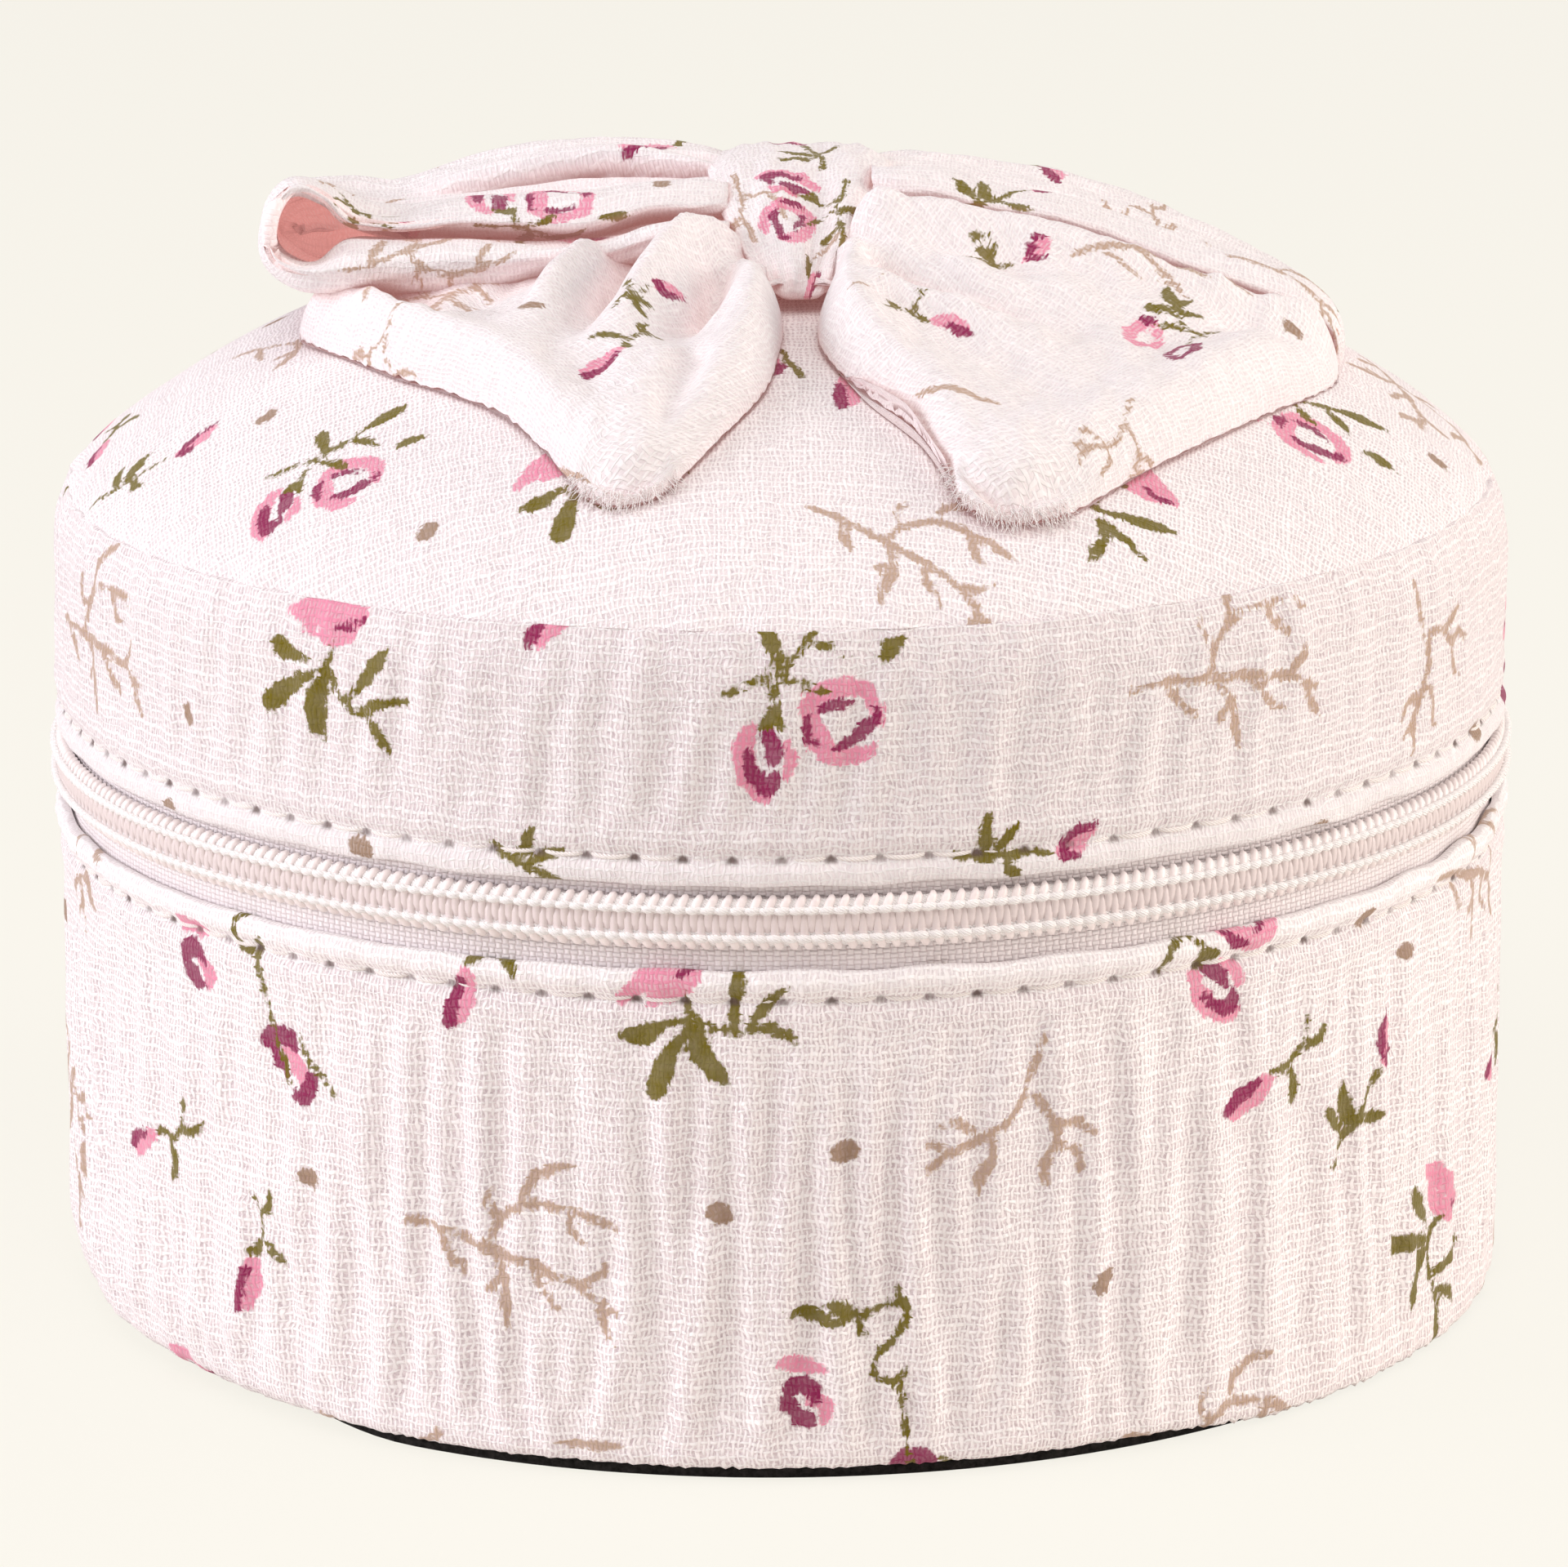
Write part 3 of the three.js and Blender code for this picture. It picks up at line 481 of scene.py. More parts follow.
    # the second layer shows unevenly through the gaps of the first
    under = add(tree, "TexNoise", {"Vector": flat, "Scale": 1.5, "Detail": 2.0, "Roughness": 0.6}, out=0)
    under = add(tree, "MapRange", {0: under, 1: 0.38, 2: 0.62})
    gap = add(tree, "Mix", {0: under, 6: gauzeLook["deepGap"], 7: gauzeLook["gap"]}, out=2, data_type="RGBA")
    gap = add(tree, "Mix", {0: fluff, 6: gap, 7: gauzeLook["weft"]}, out=2, data_type="RGBA")
    cover = add(tree, "MapRange", {0: height, 1: 0.05, 2: 0.75})
    slub = add(tree, "TexNoise", {"Vector": flat, "Scale": 0.9, "Detail": 3.0}, out=0)
    # tone below 1 paints the cloth darker as shade, as on the lid band; fluffed cloth is made darker by up to a fifth
    bright = tone if stitchEvery else 1 - 0.2 * fluff
    slub = add(tree, "MapRange", {0: slub, 1: 0.3, 2: 0.7, 3: 0.93 * bright, 4: 1.03 * bright})
    # brushed fibre ends catch the light here and there
    brushed = add(tree, "TexNoise", {"Vector": flat, "Scale": 4.2, "Detail": 3.0, "Roughness": 0.7}, out=0)
    brushed = add(tree, "MapRange", {0: brushed, 1: 0.42, 2: 0.66, 3: 0.0, 4: 0.55})
    cover = add(tree, "Math", {0: brushed, 1: cover}, operation="ADD", use_clamp=True)
    onWarp = add(tree, "Math", {0: warp, 1: weft}, operation="SUBTRACT")
    onWarp = add(tree, "MapRange", {0: onWarp, 1: -0.12, 2: 0.12})
    thread = add(tree, "Mix", {0: fluff, 6: gauzeLook["warp"], 7: gauzeLook["weft"]}, out=2, data_type="RGBA")
    thread = add(tree, "Mix", {0: onWarp, 6: gauzeLook["weft"], 7: thread}, out=2, data_type="RGBA")
    thread = add(tree, "VectorMath", {0: thread, "Scale": slub}, operation="SCALE")
    # the print
    inks = add(tree, "Attribute", attribute_name="print", out="Color").node
    rgb = add(tree, "SeparateColor", {0: inks.outputs["Color"]}).node
    more = add(tree, "Attribute", attribute_name="printMore", out="Color").node
    spots = add(tree, "SeparateColor", {0: more.outputs["Color"]}).node
    rough = add(tree, "TexNoise", {"Vector": flat, "Scale": 2.4, "Detail": 2.0}, out=0)
    rough = add(tree, "Math", {0: rough, 1: -0.45, 2: 0.225}, operation="MULTIPLY_ADD")
    lift = add(tree, "Math", {0: height, 1: -0.12, 2: 0.06}, operation="MULTIPLY_ADD")
    rough = add(tree, "Math", {0: rough, 1: lift}, operation="ADD")
    # the ink stops a little earlier or later on each thread
    thisThread = add(tree, "Mix", {0: onWarp, 2: owns[1], 3: owns[0]}, out=0, data_type="FLOAT")
    thisThread = add(tree, "Math", {0: thisThread, 1: 0.5}, operation="SUBTRACT")
    rough = add(tree, "Math", {0: thisThread, 1: 0.24, 2: rough}, operation="MULTIPLY_ADD")
    colour = thread
    gapColour = gap
    fade = add(tree, "TexNoise", {"Vector": flat, "Scale": 0.7, "Detail": 2.0}, out=0)
    for ink, source, strength, inGaps in (
        ("beige", inks.outputs["Alpha"], 0.88, 0.66), ("tan", spots.outputs["Red"], 0.94, 0.8),
        ("pink", rgb.outputs["Red"], 0.90, 0.52), ("magenta", rgb.outputs["Green"], 1.0, 0.86),
        ("olive", rgb.outputs["Blue"], 1.0, 0.95),
    ):
        edge = add(tree, "Math", {0: source, 1: rough}, operation="ADD")
        mask = add(tree, "MapRange", {0: edge, 1: -0.06, 2: 0.17, 3: 1.0, 4: 0.0}, interpolation_type="SMOOTHSTEP")
        load = add(tree, "MapRange", {0: fade, 1: 0.3, 2: 0.7, 3: strength * 0.92, 4: strength})
        mask = add(tree, "Math", {0: mask, 1: load}, operation="MULTIPLY")
        colour = add(tree, "Mix", {0: mask, 6: colour, 7: gauzeLook[ink]}, out=2, data_type="RGBA")
        gapMask = add(tree, "Math", {0: mask, 1: inGaps}, operation="MULTIPLY")
        gapColour = add(tree, "Mix", {0: gapMask, 6: gapColour, 7: gauzeLook[ink]}, out=2, data_type="RGBA")
    colour = add(tree, "Mix", {0: cover, 6: gapColour, 7: colour}, out=2, data_type="RGBA")
    if stitchEvery:
        # needle holes along the flat cloth's y = 0
        place = add(tree, "SeparateXYZ", {0: flat}).node
        turns = add(tree, "Math", {0: place.outputs["X"], 1: 1 / stitchEvery}, operation="MULTIPLY")
        turns = add(tree, "Math", {0: turns}, operation="FRACT")
        off = add(tree, "Math", {0: turns, 1: 0.5}, operation="SUBTRACT")
        off = add(tree, "Math", {0: off}, operation="ABSOLUTE")
        off = add(tree, "Math", {0: off, 1: -stitchEvery, 2: stitchEvery / 2}, operation="MULTIPLY_ADD")
        slant = add(tree, "Math", {0: off, 1: 0.35, 2: place.outputs["Y"]}, operation="MULTIPLY_ADD")
        sideways = add(tree, "CombineXYZ", {"X": off, "Y": slant})
        sideways = add(tree, "VectorMath", {0: sideways, 1: (1 / 0.58, 1 / 0.38, 0)}, operation="MULTIPLY")
        reach = add(tree, "VectorMath", {0: sideways}, out="Value", operation="LENGTH")
        each = add(tree, "Math", {0: place.outputs["X"], 1: 1 / stitchEvery}, operation="MULTIPLY")
        each = add(tree, "Math", {0: each}, operation="ROUND")
        each = add(tree, "TexWhiteNoise", {"W": each}, noise_dimensions="1D")
        each = add(tree, "MapRange", {0: each, 3: 0.95, 4: 0.45})
        hole = add(tree, "MapRange", {0: reach, 1: 0.3, 2: 1.2, 3: each, 4: 0.0}, interpolation_type="SMOOTHSTEP")
        colour = add(tree, "Mix", {0: hole, 6: colour, 7: gauzeLook["hole"]}, out=2, data_type="RGBA")
    fuzz = add(tree, "TexNoise", {"Vector": flat, "Scale": 9.0, "Detail": 1.0}, out=0)
    fuzz = add(tree, "Math", {0: fuzz, 1: 0.25, 2: height}, operation="MULTIPLY_ADD")
    bump = add(tree, "Bump", {"Strength": 0.55, "Distance": 0.16 * mm, "Height": fuzz})
    lit = 0.0
    # painted light and shade: a pink emission that grows where ambient occlusion is high, plus an even glow, and the
    # colour painted darker in the deepest creases
    if paintedCreaseGlow:
        openness = add(tree, "AmbientOcclusion", {"Distance": 3.5 * mm}, out="AO", samples=2)
        lit = add(tree, "Math", {0: openness, 1: -paintedCreaseGlow, 2: paintedCreaseGlow + glow}, operation="MULTIPLY_ADD")
        paintedCreaseShade = add(tree, "MapRange", {0: openness, 1: 0.05, 2: 0.30, 3: 0.30, 4: 1.0})
        colour = add(tree, "VectorMath", {0: colour, "Scale": paintedCreaseShade}, operation="SCALE")
    endMaterial(tree, {
        "Base Color": colour, "Roughness": 0.92, "Specular IOR Level": 0.18, "Sheen Weight": 0.12,
        "Sheen Roughness": 0.5, "Normal": bump, "Emission Color": gauzeLook["paintedGlowColour"], "Emission Strength": lit,
    })
    return material


drumRadius = 60
aroundLength = 2 * math.pi * drumRadius
stitchCount = 100
stitchPitch = aroundLength / stitchCount
wallGauze = printedGauze("printed cotton gauze, stitched hem", stitchEvery=stitchPitch)
# the lid band's copy of the wall cloth, its colour painted about a tenth darker as shade
paintedShadeBandGauze = printedGauze("printed cotton gauze, painted darker as shade", stitchEvery=stitchPitch, tone=0.91)
topGauze = printedGauze("printed cotton gauze, stretched top", fluff=0.15, paintedCreaseGlow=0.14, loose=0.35)
bowGauze = printedGauze("printed cotton gauze, fluffed bow", fluff=0.42, paintedCreaseGlow=0.28, loose=0.6)
# the inner side of the bow's loops: this cloth with a painted glow all over and more in its creases, standing for light
# shining through the loops
paintedGlowGauze = printedGauze("printed cotton gauze, lit through from behind", fluff=0.8, paintedCreaseGlow=0.24, glow=0.18)


def gridMesh(name, columns, rows):
    # a flat grid and its u and v, from 0 to 1
    bm = bmesh.new()
    bmesh.ops.create_grid(bm, x_segments=columns, y_segments=rows, size=0.5)
    mesh = bpy.data.meshes.new(name)
    bm.to_mesh(mesh)
    bm.free()
    at = np.empty(len(mesh.vertices) * 3)
    mesh.vertices.foreach_get("co", at)
    u, v, _ = at.reshape(-1, 3).T + 0.5
    return mesh, u, v


def weld(mesh, reach, turnFaces=True):
    # joins the points where edges of the cloth meet, and points its faces outwards
    bm = bmesh.new()
    bm.from_mesh(mesh)
    bmesh.ops.remove_doubles(bm, verts=bm.verts, dist=reach)
    if turnFaces:
        bmesh.ops.recalc_face_normals(bm, faces=bm.faces)
    bm.to_mesh(mesh)
    bm.free()


def gauzeMesh(name, columns, rows, shape, placed, around=None, closed=False):
    # a grid of cloth: shape(u, v) gives its bent place and its flat place in mm
    mesh, u, v = gridMesh(name, columns, rows)
    bent, flat = shape(u, v)
    mesh.vertices.foreach_set("co", (bent * mm).ravel())
    corner = np.empty(len(mesh.loops), int)
    mesh.loops.foreach_get("vertex_index", corner)
    uv = mesh.uv_layers.new(name="threads")
    uv.data.foreach_set("uv", flat[corner].ravel())
    inks = printDistances(flat, placed, around)
    first = mesh.attributes.new("print", "FLOAT_COLOR", "POINT")
    first.data.foreach_set("color", inks[:, :4].ravel())
    second = mesh.attributes.new("printMore", "FLOAT_COLOR", "POINT")
    rest = np.column_stack([inks[:, 4], np.zeros((len(inks), 2)), np.ones(len(inks))])
    second.data.foreach_set("color", rest.ravel())
    if closed:
        weld(mesh, 1e-7)
    return mesh


def roundedLoop(corners):
    # a closed outline in (radius, height, face): each corner is (radius, height, rounding, spacing of the points
    # after it, face), and face is 1 on the side that shows
    points = []
    for i, (x, y, rounding, spacing, face) in enumerate(corners):
        here = np.array([x, y, face], float)
        before = np.array(corners[i - 1][:2] + corners[i - 1][4:], float) - here
        after = np.array(corners[(i + 1) % len(corners)][:2] + corners[(i + 1) % len(corners)][4:], float) - here
        lead, leave = before / np.linalg.norm(before[:2]), after / np.linalg.norm(after[:2])
        for t in np.linspace(0, 1, 6 if rounding > 0.2 else 2):
            a, b = here + lead * rounding * (1 - t), here + leave * rounding * t
            points.append((a * (1 - t) + b * t, spacing if t == 1 else 0))
    line = []
    for i, (point, spacing) in enumerate(points):
        line.append(point)
        if spacing:
            end = points[(i + 1) % len(points)][0]
            pieces = max(1, round(np.linalg.norm(end[:2] - point[:2]) / spacing))
            line += [point + (end - point) * k / pieces for k in range(1, pieces)]
    line.append(line[0])
    return np.array(line)


def wrappedCover(name, outline, zero, columns, move, placed, material, body, stands):
    # a cover that goes round the drum: its outline is spun, its cloth's seam is at the back, and the flat cloth's
    # x is 0 at the front and y is 0 at the height zero outside
    along = runAlong(outline[:, :2])
    outside = np.nonzero(outline[:, 0] > 59.9)[0]
    start = np.interp(zero, outline[outside, 1], along[outside])

    def shape(u, v):
        row = np.clip(np.rint(v * (len(outline) - 1)).astype(int), 0, len(outline) - 1)
        radius, height, face = outline[row].T
        angle = 2 * math.pi * u + math.pi / 2
        arc = (u - 0.5) * aroundLength
        out, up = move(arc, radius, height, face)
        bent = np.stack([(radius + out) * np.cos(angle), (radius + out) * np.sin(angle), height + up], 1)
        return bent, np.stack([arc, along[row] - start], 1)

    mesh = gauzeMesh(name, columns, len(outline) - 1, shape, placed, around=aroundLength, closed=True)
    return keepPiece(name, mesh, material, body, stands)


print("wall covers")
wallLook = {
    "columns": 720, "stitchHeight": 39.0, "hemTop": 41.4, "crinkleSize": 4.2, "crinkleDepth": 0.50, "grooveDepth": 0.45,
    "hemPuff": 0.46,
}


def hemShape(arc, height, edge, look):
    # the hem between its edge and its stitches stands proud, and the thread pulls a groove that dips at each hole
    stitchHeight = look["stitchHeight"]
    beat = np.cos(2 * math.pi * arc / stitchPitch)
    span = abs(edge - stitchHeight)
    toward = (height - stitchHeight) * (1 if edge > stitchHeight else -1)
    swell = look["hemPuff"] * np.clip(np.sin(math.pi * np.clip(toward / (span * 1.12), 0, 1)), 0, 1) * (1 - 0.18 * beat)
    dip = look["grooveDepth"] * np.exp(-((height - stitchHeight) / 0.55) ** 2) * (0.72 + 0.28 * beat)
    below = 0.16 * np.exp(-((toward + 1.7) / 1.1) ** 2) * (1 - 0.3 * beat)
    return swell - dip + below


def wallMove(arc, radius, height, face):
    frontness = 1 - step(np.abs(arc), 45, 110)
    lowness = 1 - step(height, 20, 40)
    depth = wallLook["crinkleDepth"] * (0.35 + 0.65 * frontness) * (0.45 + 0.55 * lowness)
    folds = waves(arc, height, wallLook["crinkleSize"], 9, 9, 3)
    folds = np.tanh(1.2 * folds) * depth * step(np.abs(height - wallLook["stitchHeight"]), 0.6, 5)
    folds = folds * (1 - step(height, 38.0, 38.8)) * (0.3 + 0.7 * step(height, 1.5, 7))
    puffs = 0.10 * waves(arc, height, 16, 1.2, 6, 5)
    hem = hemShape(arc, height, wallLook["hemTop"], wallLook)
    out = face * (folds + puffs + hem)
    edge = 0.12 * waves(arc, height, 11, 2, 5, 8) * step(height, 40, 41.4)
    # the lower edge hangs over the black base on the right, leaves it bare in front and is rounder on the left
    right, left = step(arc, 28, 44), step(-arc, 34, 50) * (1 - step(-arc, 110, 130))
    out = out - 0.8 * left * (1 - step(height, 0.5, 7)) * step(radius, 58.0, 59.6)
    droop = (0.25 * left - 0.95 * right) * (1 - step(height, 1, 6)) * step(radius, 58.9, 59.6)
    ragged = 0.10 * waves(arc, height, 1.3, 3, 4, 9) * (1 - step(height, 1.3, 2.2)) * step(radius, 58.9, 59.6)
    return out, edge + droop + ragged


wallOutline = roundedLoop([
    (55.2, 1.15, 0.1, 1.5, 0), (60.0, 1.15, 1.1, 0.55, 1), (60.0, 37.4, 0.0, 0.25, 1), (60.0, 41.4, 0.34, 0.3, 1),
    (59.3, 41.4, 0.34, 3.0, 0), (59.3, 1.95, 0.1, 1.5, 0), (55.2, 1.95, 0.1, 0.4, 0),
])
wallPrint = scatter(aroundLength, 45, (4, 6, 4, 5, 3, 3, 8, 7, 6, 20), 202, left=-aroundLength / 2, bottom=-41,
                    around=aroundLength)
baseGauze = wrappedCover("base_gauze_cover", wallOutline, wallLook["stitchHeight"], wallLook["columns"], wallMove,
                         wallPrint, wallGauze, "base", ["base_cover"])

bandLook = {"columns": 720, "stitchHeight": 50.15, "hemFoot": 48.1, "hemPuff": 0.22, "grooveDepth": 0.42}


def bandMove(arc, radius, height, face):
    frontness = 1 - step(np.abs(arc), 35, 100)
    folds = np.tanh(waves(arc, height, 4.6, 6, 9, 31)) * (0.10 + 0.20 * frontness)
    folds = folds * step(height, 51, 55) * (1 - 0.5 * step(height, 62, 67))
    puffs = 0.14 * waves(arc, height, 19, 1.1, 6, 33)
    hem = hemShape(arc, height, bandLook["hemFoot"], bandLook)
    gather = 0.14 * waves(arc, height, 3.4, 4, 5, 35) * step(height, 63.5, 66.2)
    edge = 0.12 * waves(arc, height, 12, 2, 5, 38) * (1 - step(height, 48.4, 49.6))
    return face * (folds + puffs + hem + gather), edge


bandOutline = roundedLoop([
    (59.3, 48.05, 0.34, 0.3, 0), (60.0, 48.05, 0.34, 0.25, 1), (60.0, 51.8, 0.0, 0.5, 1), (60.0, 64.6, 2.2, 0.5, 1),
    (58.75, 67.75, 0.3, 0.4, 0.6), (57.9, 67.65, 0.1, 0.4, 0), (57.6, 67.0, 0.1, 0.8, 0), (59.3, 63.0, 0.1, 3.0, 0),
])
bandPrint = scatter(aroundLength, 24, (2, 3, 1, 3, 2, 2, 5, 5, 3, 9), 203, left=-aroundLength / 2, bottom=-3,
                    around=aroundLength)
bandGauze = wrappedCover("lid_band_gauze", bandOutline, bandLook["stitchHeight"], bandLook["columns"], bandMove,
                         bandPrint, paintedShadeBandGauze, "lid", ["lid_band_cover"])

print("padded top")
domeLook = {
    "radius": 58.6, "seam": 67.7, "rise": 17.5, "fullness": 2.56, "shoulder": 1.19, "columns": 560, "thick": 0.6,
}


def domeHeight(radius):
    share = np.clip(radius / domeLook["radius"], 0, 1)
    return domeLook["seam"] + domeLook["rise"] * (1 - share ** domeLook["fullness"]) ** (1 / domeLook["shoulder"])


lean = np.sin(np.linspace(0, math.pi / 2, 112)) ** 0.86
domeRadii = domeLook["radius"] * lean
domeLine = np.stack([domeRadii, domeHeight(domeRadii)], 1)
innerLean = np.sin(np.linspace(math.pi / 2, 0, 12)) ** 0.86
innerRadii = (domeLook["radius"] - domeLook["thick"]) * innerLean
innerHeights = domeHeight(domeLook["radius"] * innerLean) - domeLook["thick"]
innerLine = np.stack([innerRadii, np.maximum(innerHeights, domeLook["seam"] + 0.05)], 1)
domeOutline = np.vstack([domeLine, [[58.3, 67.62], [57.6, 67.72]], innerLine[1:]])
domeAlong = runAlong(domeOutline)


def domeShape(u, v):
    row = np.clip(np.rint(v * (len(domeOutline) - 1)).astype(int), 0, len(domeOutline) - 1)
    radius, height = domeOutline[row, 0].copy(), domeOutline[row, 1].copy()
    angle = 2 * math.pi * u + math.pi / 2
    outside = (row < len(domeLine)).astype(float)
    x, y = radius * np.cos(angle), radius * np.sin(angle)
    soft = outside * 0.28 * waves(x, y, 42, 1, 6, 51) * (1 - step(radius, 50, 58))
    gather = outside * 0.16 * waves(angle * 58, radius, 6.5, 2.5, 7, 53) * step(radius, 50, 57.4)
    radius = radius + gather
    reach = np.minimum(domeAlong[row], domeAlong[len(domeLine) - 1] + 2)
    flat = np.stack([reach * np.cos(angle), reach * np.sin(angle)], 1)
    bent = np.stack([radius * np.cos(angle), radius * np.sin(angle), height + soft], 1)
    return bent, flat


domePrint = scatter(126, 126, (3, 5, 2, 3, 2, 3, 5, 4, 4, 12), 14, left=-63, bottom=-63,
                    inside=lambda x, y: math.hypot(x, y) < 60)
domeMesh = gauzeMesh("lid_top_gauze", domeLook["columns"], len(domeOutline) - 1, domeShape, domePrint, closed=True)
domeCover = keepPiece("lid_top_gauze", domeMesh, topGauze, "lid", ["lid_top_cover"])

# The bow's two loops are hoops of band. Each net gives where its cloth lies, in mm: a line for each station along the
# band, out over the top, round the bend and back underneath, and in it nine points from the front edge to the back edge
print("bow")
leftLoopNet = [
    [(-3.9, -7, 90.2), (-3.9, -10, 91), (-3.9, -10.5, 91.9), (-3.9, -8, 92.8), (-3.9, -4, 92.9), (-3.9, -1, 93.3),
     (-3.9, 2, 93.4), (-3.9, 7, 91.5), (-4, 9, 89.8)],
    [(-6, -6.5, 88.5), (-6, -10.5, 90.8), (-6, -11.5, 91.9), (-6, -8, 93), (-6, -2.9, 92.3), (-6, -0.5, 93.4),
     (-6.1, 3, 94), (-6.1, 8, 92.4), (-6.1, 10, 90.3)],
    [(-10.5, -5.5, 87.9), (-10.5, -10.5, 90.5), (-10.4, -12.5, 92), (-10.5, -8, 93), (-10.6, -1.9, 91.9),
     (-10.6, 1, 93.6), (-10.6, 4.5, 94.3), (-10.7, 10, 92.5), (-10.8, 12, 90.4)],
    [(-15.9, -5.5, 86.5), (-15.7, -11, 88.9), (-15.7, -13.5, 90.9), (-15.8, -8.5, 92.5), (-15.9, -0.9, 91),
     (-16, 1.8, 93.1), (-16.1, 5.5, 94.3), (-16.2, 11.5, 92.6), (-16.3, 14, 90)],
    [(-21.2, -4.5, 86.7), (-21, -11, 89.4), (-20.9, -13, 90.9), (-21.1, -7.5, 92), (-21.3, -0.4, 90.3),
     (-21.4, 2.5, 92.2), (-21.5, 6.5, 93.6), (-21.7, 12.5, 92.1), (-21.8, 15, 89.8)],
    [(-26.6, -3.5, 86.7), (-26.3, -10, 89.4), (-26.2, -12, 90.7), (-26.4, -6.5, 91.5), (-26.7, 0.6, 89.8),
     (-26.8, 4, 91.1), (-27, 8, 91.9), (-27.2, 13.5, 90.8), (-27.4, 16, 88.7)],
    [(-31.2, -2.5, 87.1), (-31, -8.5, 89.3), (-30.9, -10.5, 90), (-31.2, -5, 90.7), (-31.5, 2.6, 89.2),
     (-31.4, 6, 89.8), (-31.4, 9.5, 90.2), (-31.4, 14, 89.3), (-31.6, 15.5, 86.6)],
    [(-34.6, -2.5, 88.3), (-34.5, -8.5, 90.2), (-34.3, -10.5, 90.5), (-34.6, -5.5, 91.7), (-34.7, 2.6, 89.6),
     (-35.1, 7, 90), (-35.3, 10.5, 90.5), (-35.5, 14, 88.9), (-35.2, 14.5, 85.6)],
    [(-36.8, -4.5, 90.6), (-36.6, -9.5, 91.8), (-36.3, -12, 92.6), (-37.1, -7.5, 93.2), (-37.5, 0, 91.7),
     (-37.9, 6, 90.7), (-38.3, 10, 90.2), (-38.4, 13.6, 88.6), (-37.4, 12.6, 85.4)],
    [(-39, -6, 91.9), (-39, -11, 92.7), (-38.6, -12.5, 93.7), (-39.5, -8.5, 93.5), (-40.1, -1, 91.9),
     (-40.6, 6, 90.5), (-40.7, 10, 89.8), (-40.6, 12.4, 88), (-38.8, 11.4, 85.6)],
    [(-40.6, -6, 90), (-40.8, -11.5, 90.6), (-40.5, -13.5, 91.6), (-41.4, -9, 91.2), (-41.8, -2, 90),
     (-42.2, 5, 88.7), (-42.1, 9, 88.4), (-41.6, 11.6, 87), (-39.8, 10.6, 85.6)],
    [(-40.5, -6, 87.6), (-40.3, -11.5, 88), (-40.5, -14, 88.4), (-41.5, -9.5, 87.2), (-42.2, -2, 85.9),
     (-42.5, 5, 84.8), (-42.4, 9, 84.9), (-41.6, 12.6, 85.4), (-39.6, 10.4, 86.3)],
    [(-37.9, -6, 86.2), (-37.3, -11.5, 87.2), (-38, -15, 87.4), (-38.7, -11.5, 85.2), (-39.4, -3, 83.7),
     (-39.6, 5, 82.8), (-39.5, 10, 82.6), (-39.1, 13.8, 83), (-38.8, 12.4, 86.3)],
    [(-35, -6, 88.2), (-34.6, -11.5, 88.8), (-34.5, -15.5, 87.8), (-34.9, -12.5, 85), (-35.4, -3, 83.6),
     (-35.5, 5, 82.7), (-35.4, 10, 82.6), (-35.3, 14.3, 83), (-35.2, 14, 86.3)],
    [(-30.5, -6, 88.1), (-30.2, -12, 89), (-30, -15.8, 88), (-30.2, -13, 84.7), (-30.7, -3, 83.3), (-31.1, 5, 82.6),
     (-31, 10.5, 82.5), (-30.8, 14.8, 83), (-30.8, 15.4, 85.6)],
    [(-25.2, -6, 88.2), (-24.9, -13, 89.3), (-24.8, -16.5, 88.1), (-24.9, -13.5, 84.8), (-25.3, -4, 83.7),
     (-25.6, 4, 83), (-25.5, 10, 82.8), (-25.3, 14.3, 83.5), (-25.3, 14.9, 85.6)],
    [(-19.8, -7, 88.1), (-19.6, -13.5, 89.1), (-19.5, -16.5, 88.3), (-19.7, -13.5, 85.6), (-19.9, -5, 84.5),
     (-20.2, 3, 83.8), (-20, 8.5, 83.7), (-19.8, 12, 84.1), (-19.7, 14, 84.5)],
    [(-14.5, -8, 88.4), (-14.4, -13.5, 89.4), (-14.3, -16.5, 88.9), (-14.4, -14, 86.7), (-14.6, -6, 85.5),
     (-14.7, 1, 85), (-14.5, 6.5, 84.9), (-14.2, 10, 85.2), (-14.1, 12, 85.7)],
    [(-9.8, -9, 89.2), (-9.8, -13, 90.5), (-9.7, -16, 90.1), (-9.8, -14.5, 87.9), (-9.9, -7, 86.6), (-10, -1, 86.1),
     (-9.9, 4, 86.2), (-9.8, 8, 86.4), (-9.7, 10, 86.8)],
    [(-6, -9, 88.9), (-6, -12.5, 90.7), (-5.9, -15.5, 90.3), (-6, -14, 88.5), (-6, -8, 87.6), (-6.1, -2, 87),
     (-6.1, 3, 86.9), (-6.1, 7, 87), (-6.2, 9, 87.3)],
    [(-3.9, -8, 88.9), (-3.9, -12, 90.4), (-3.8, -14, 90.1), (-3.9, -13, 88.9), (-3.9, -7, 87.9), (-3.9, -2, 87.4),
     (-4, 3, 87.1), (-4, 6, 87.3), (-4, 8, 87.4)],
]
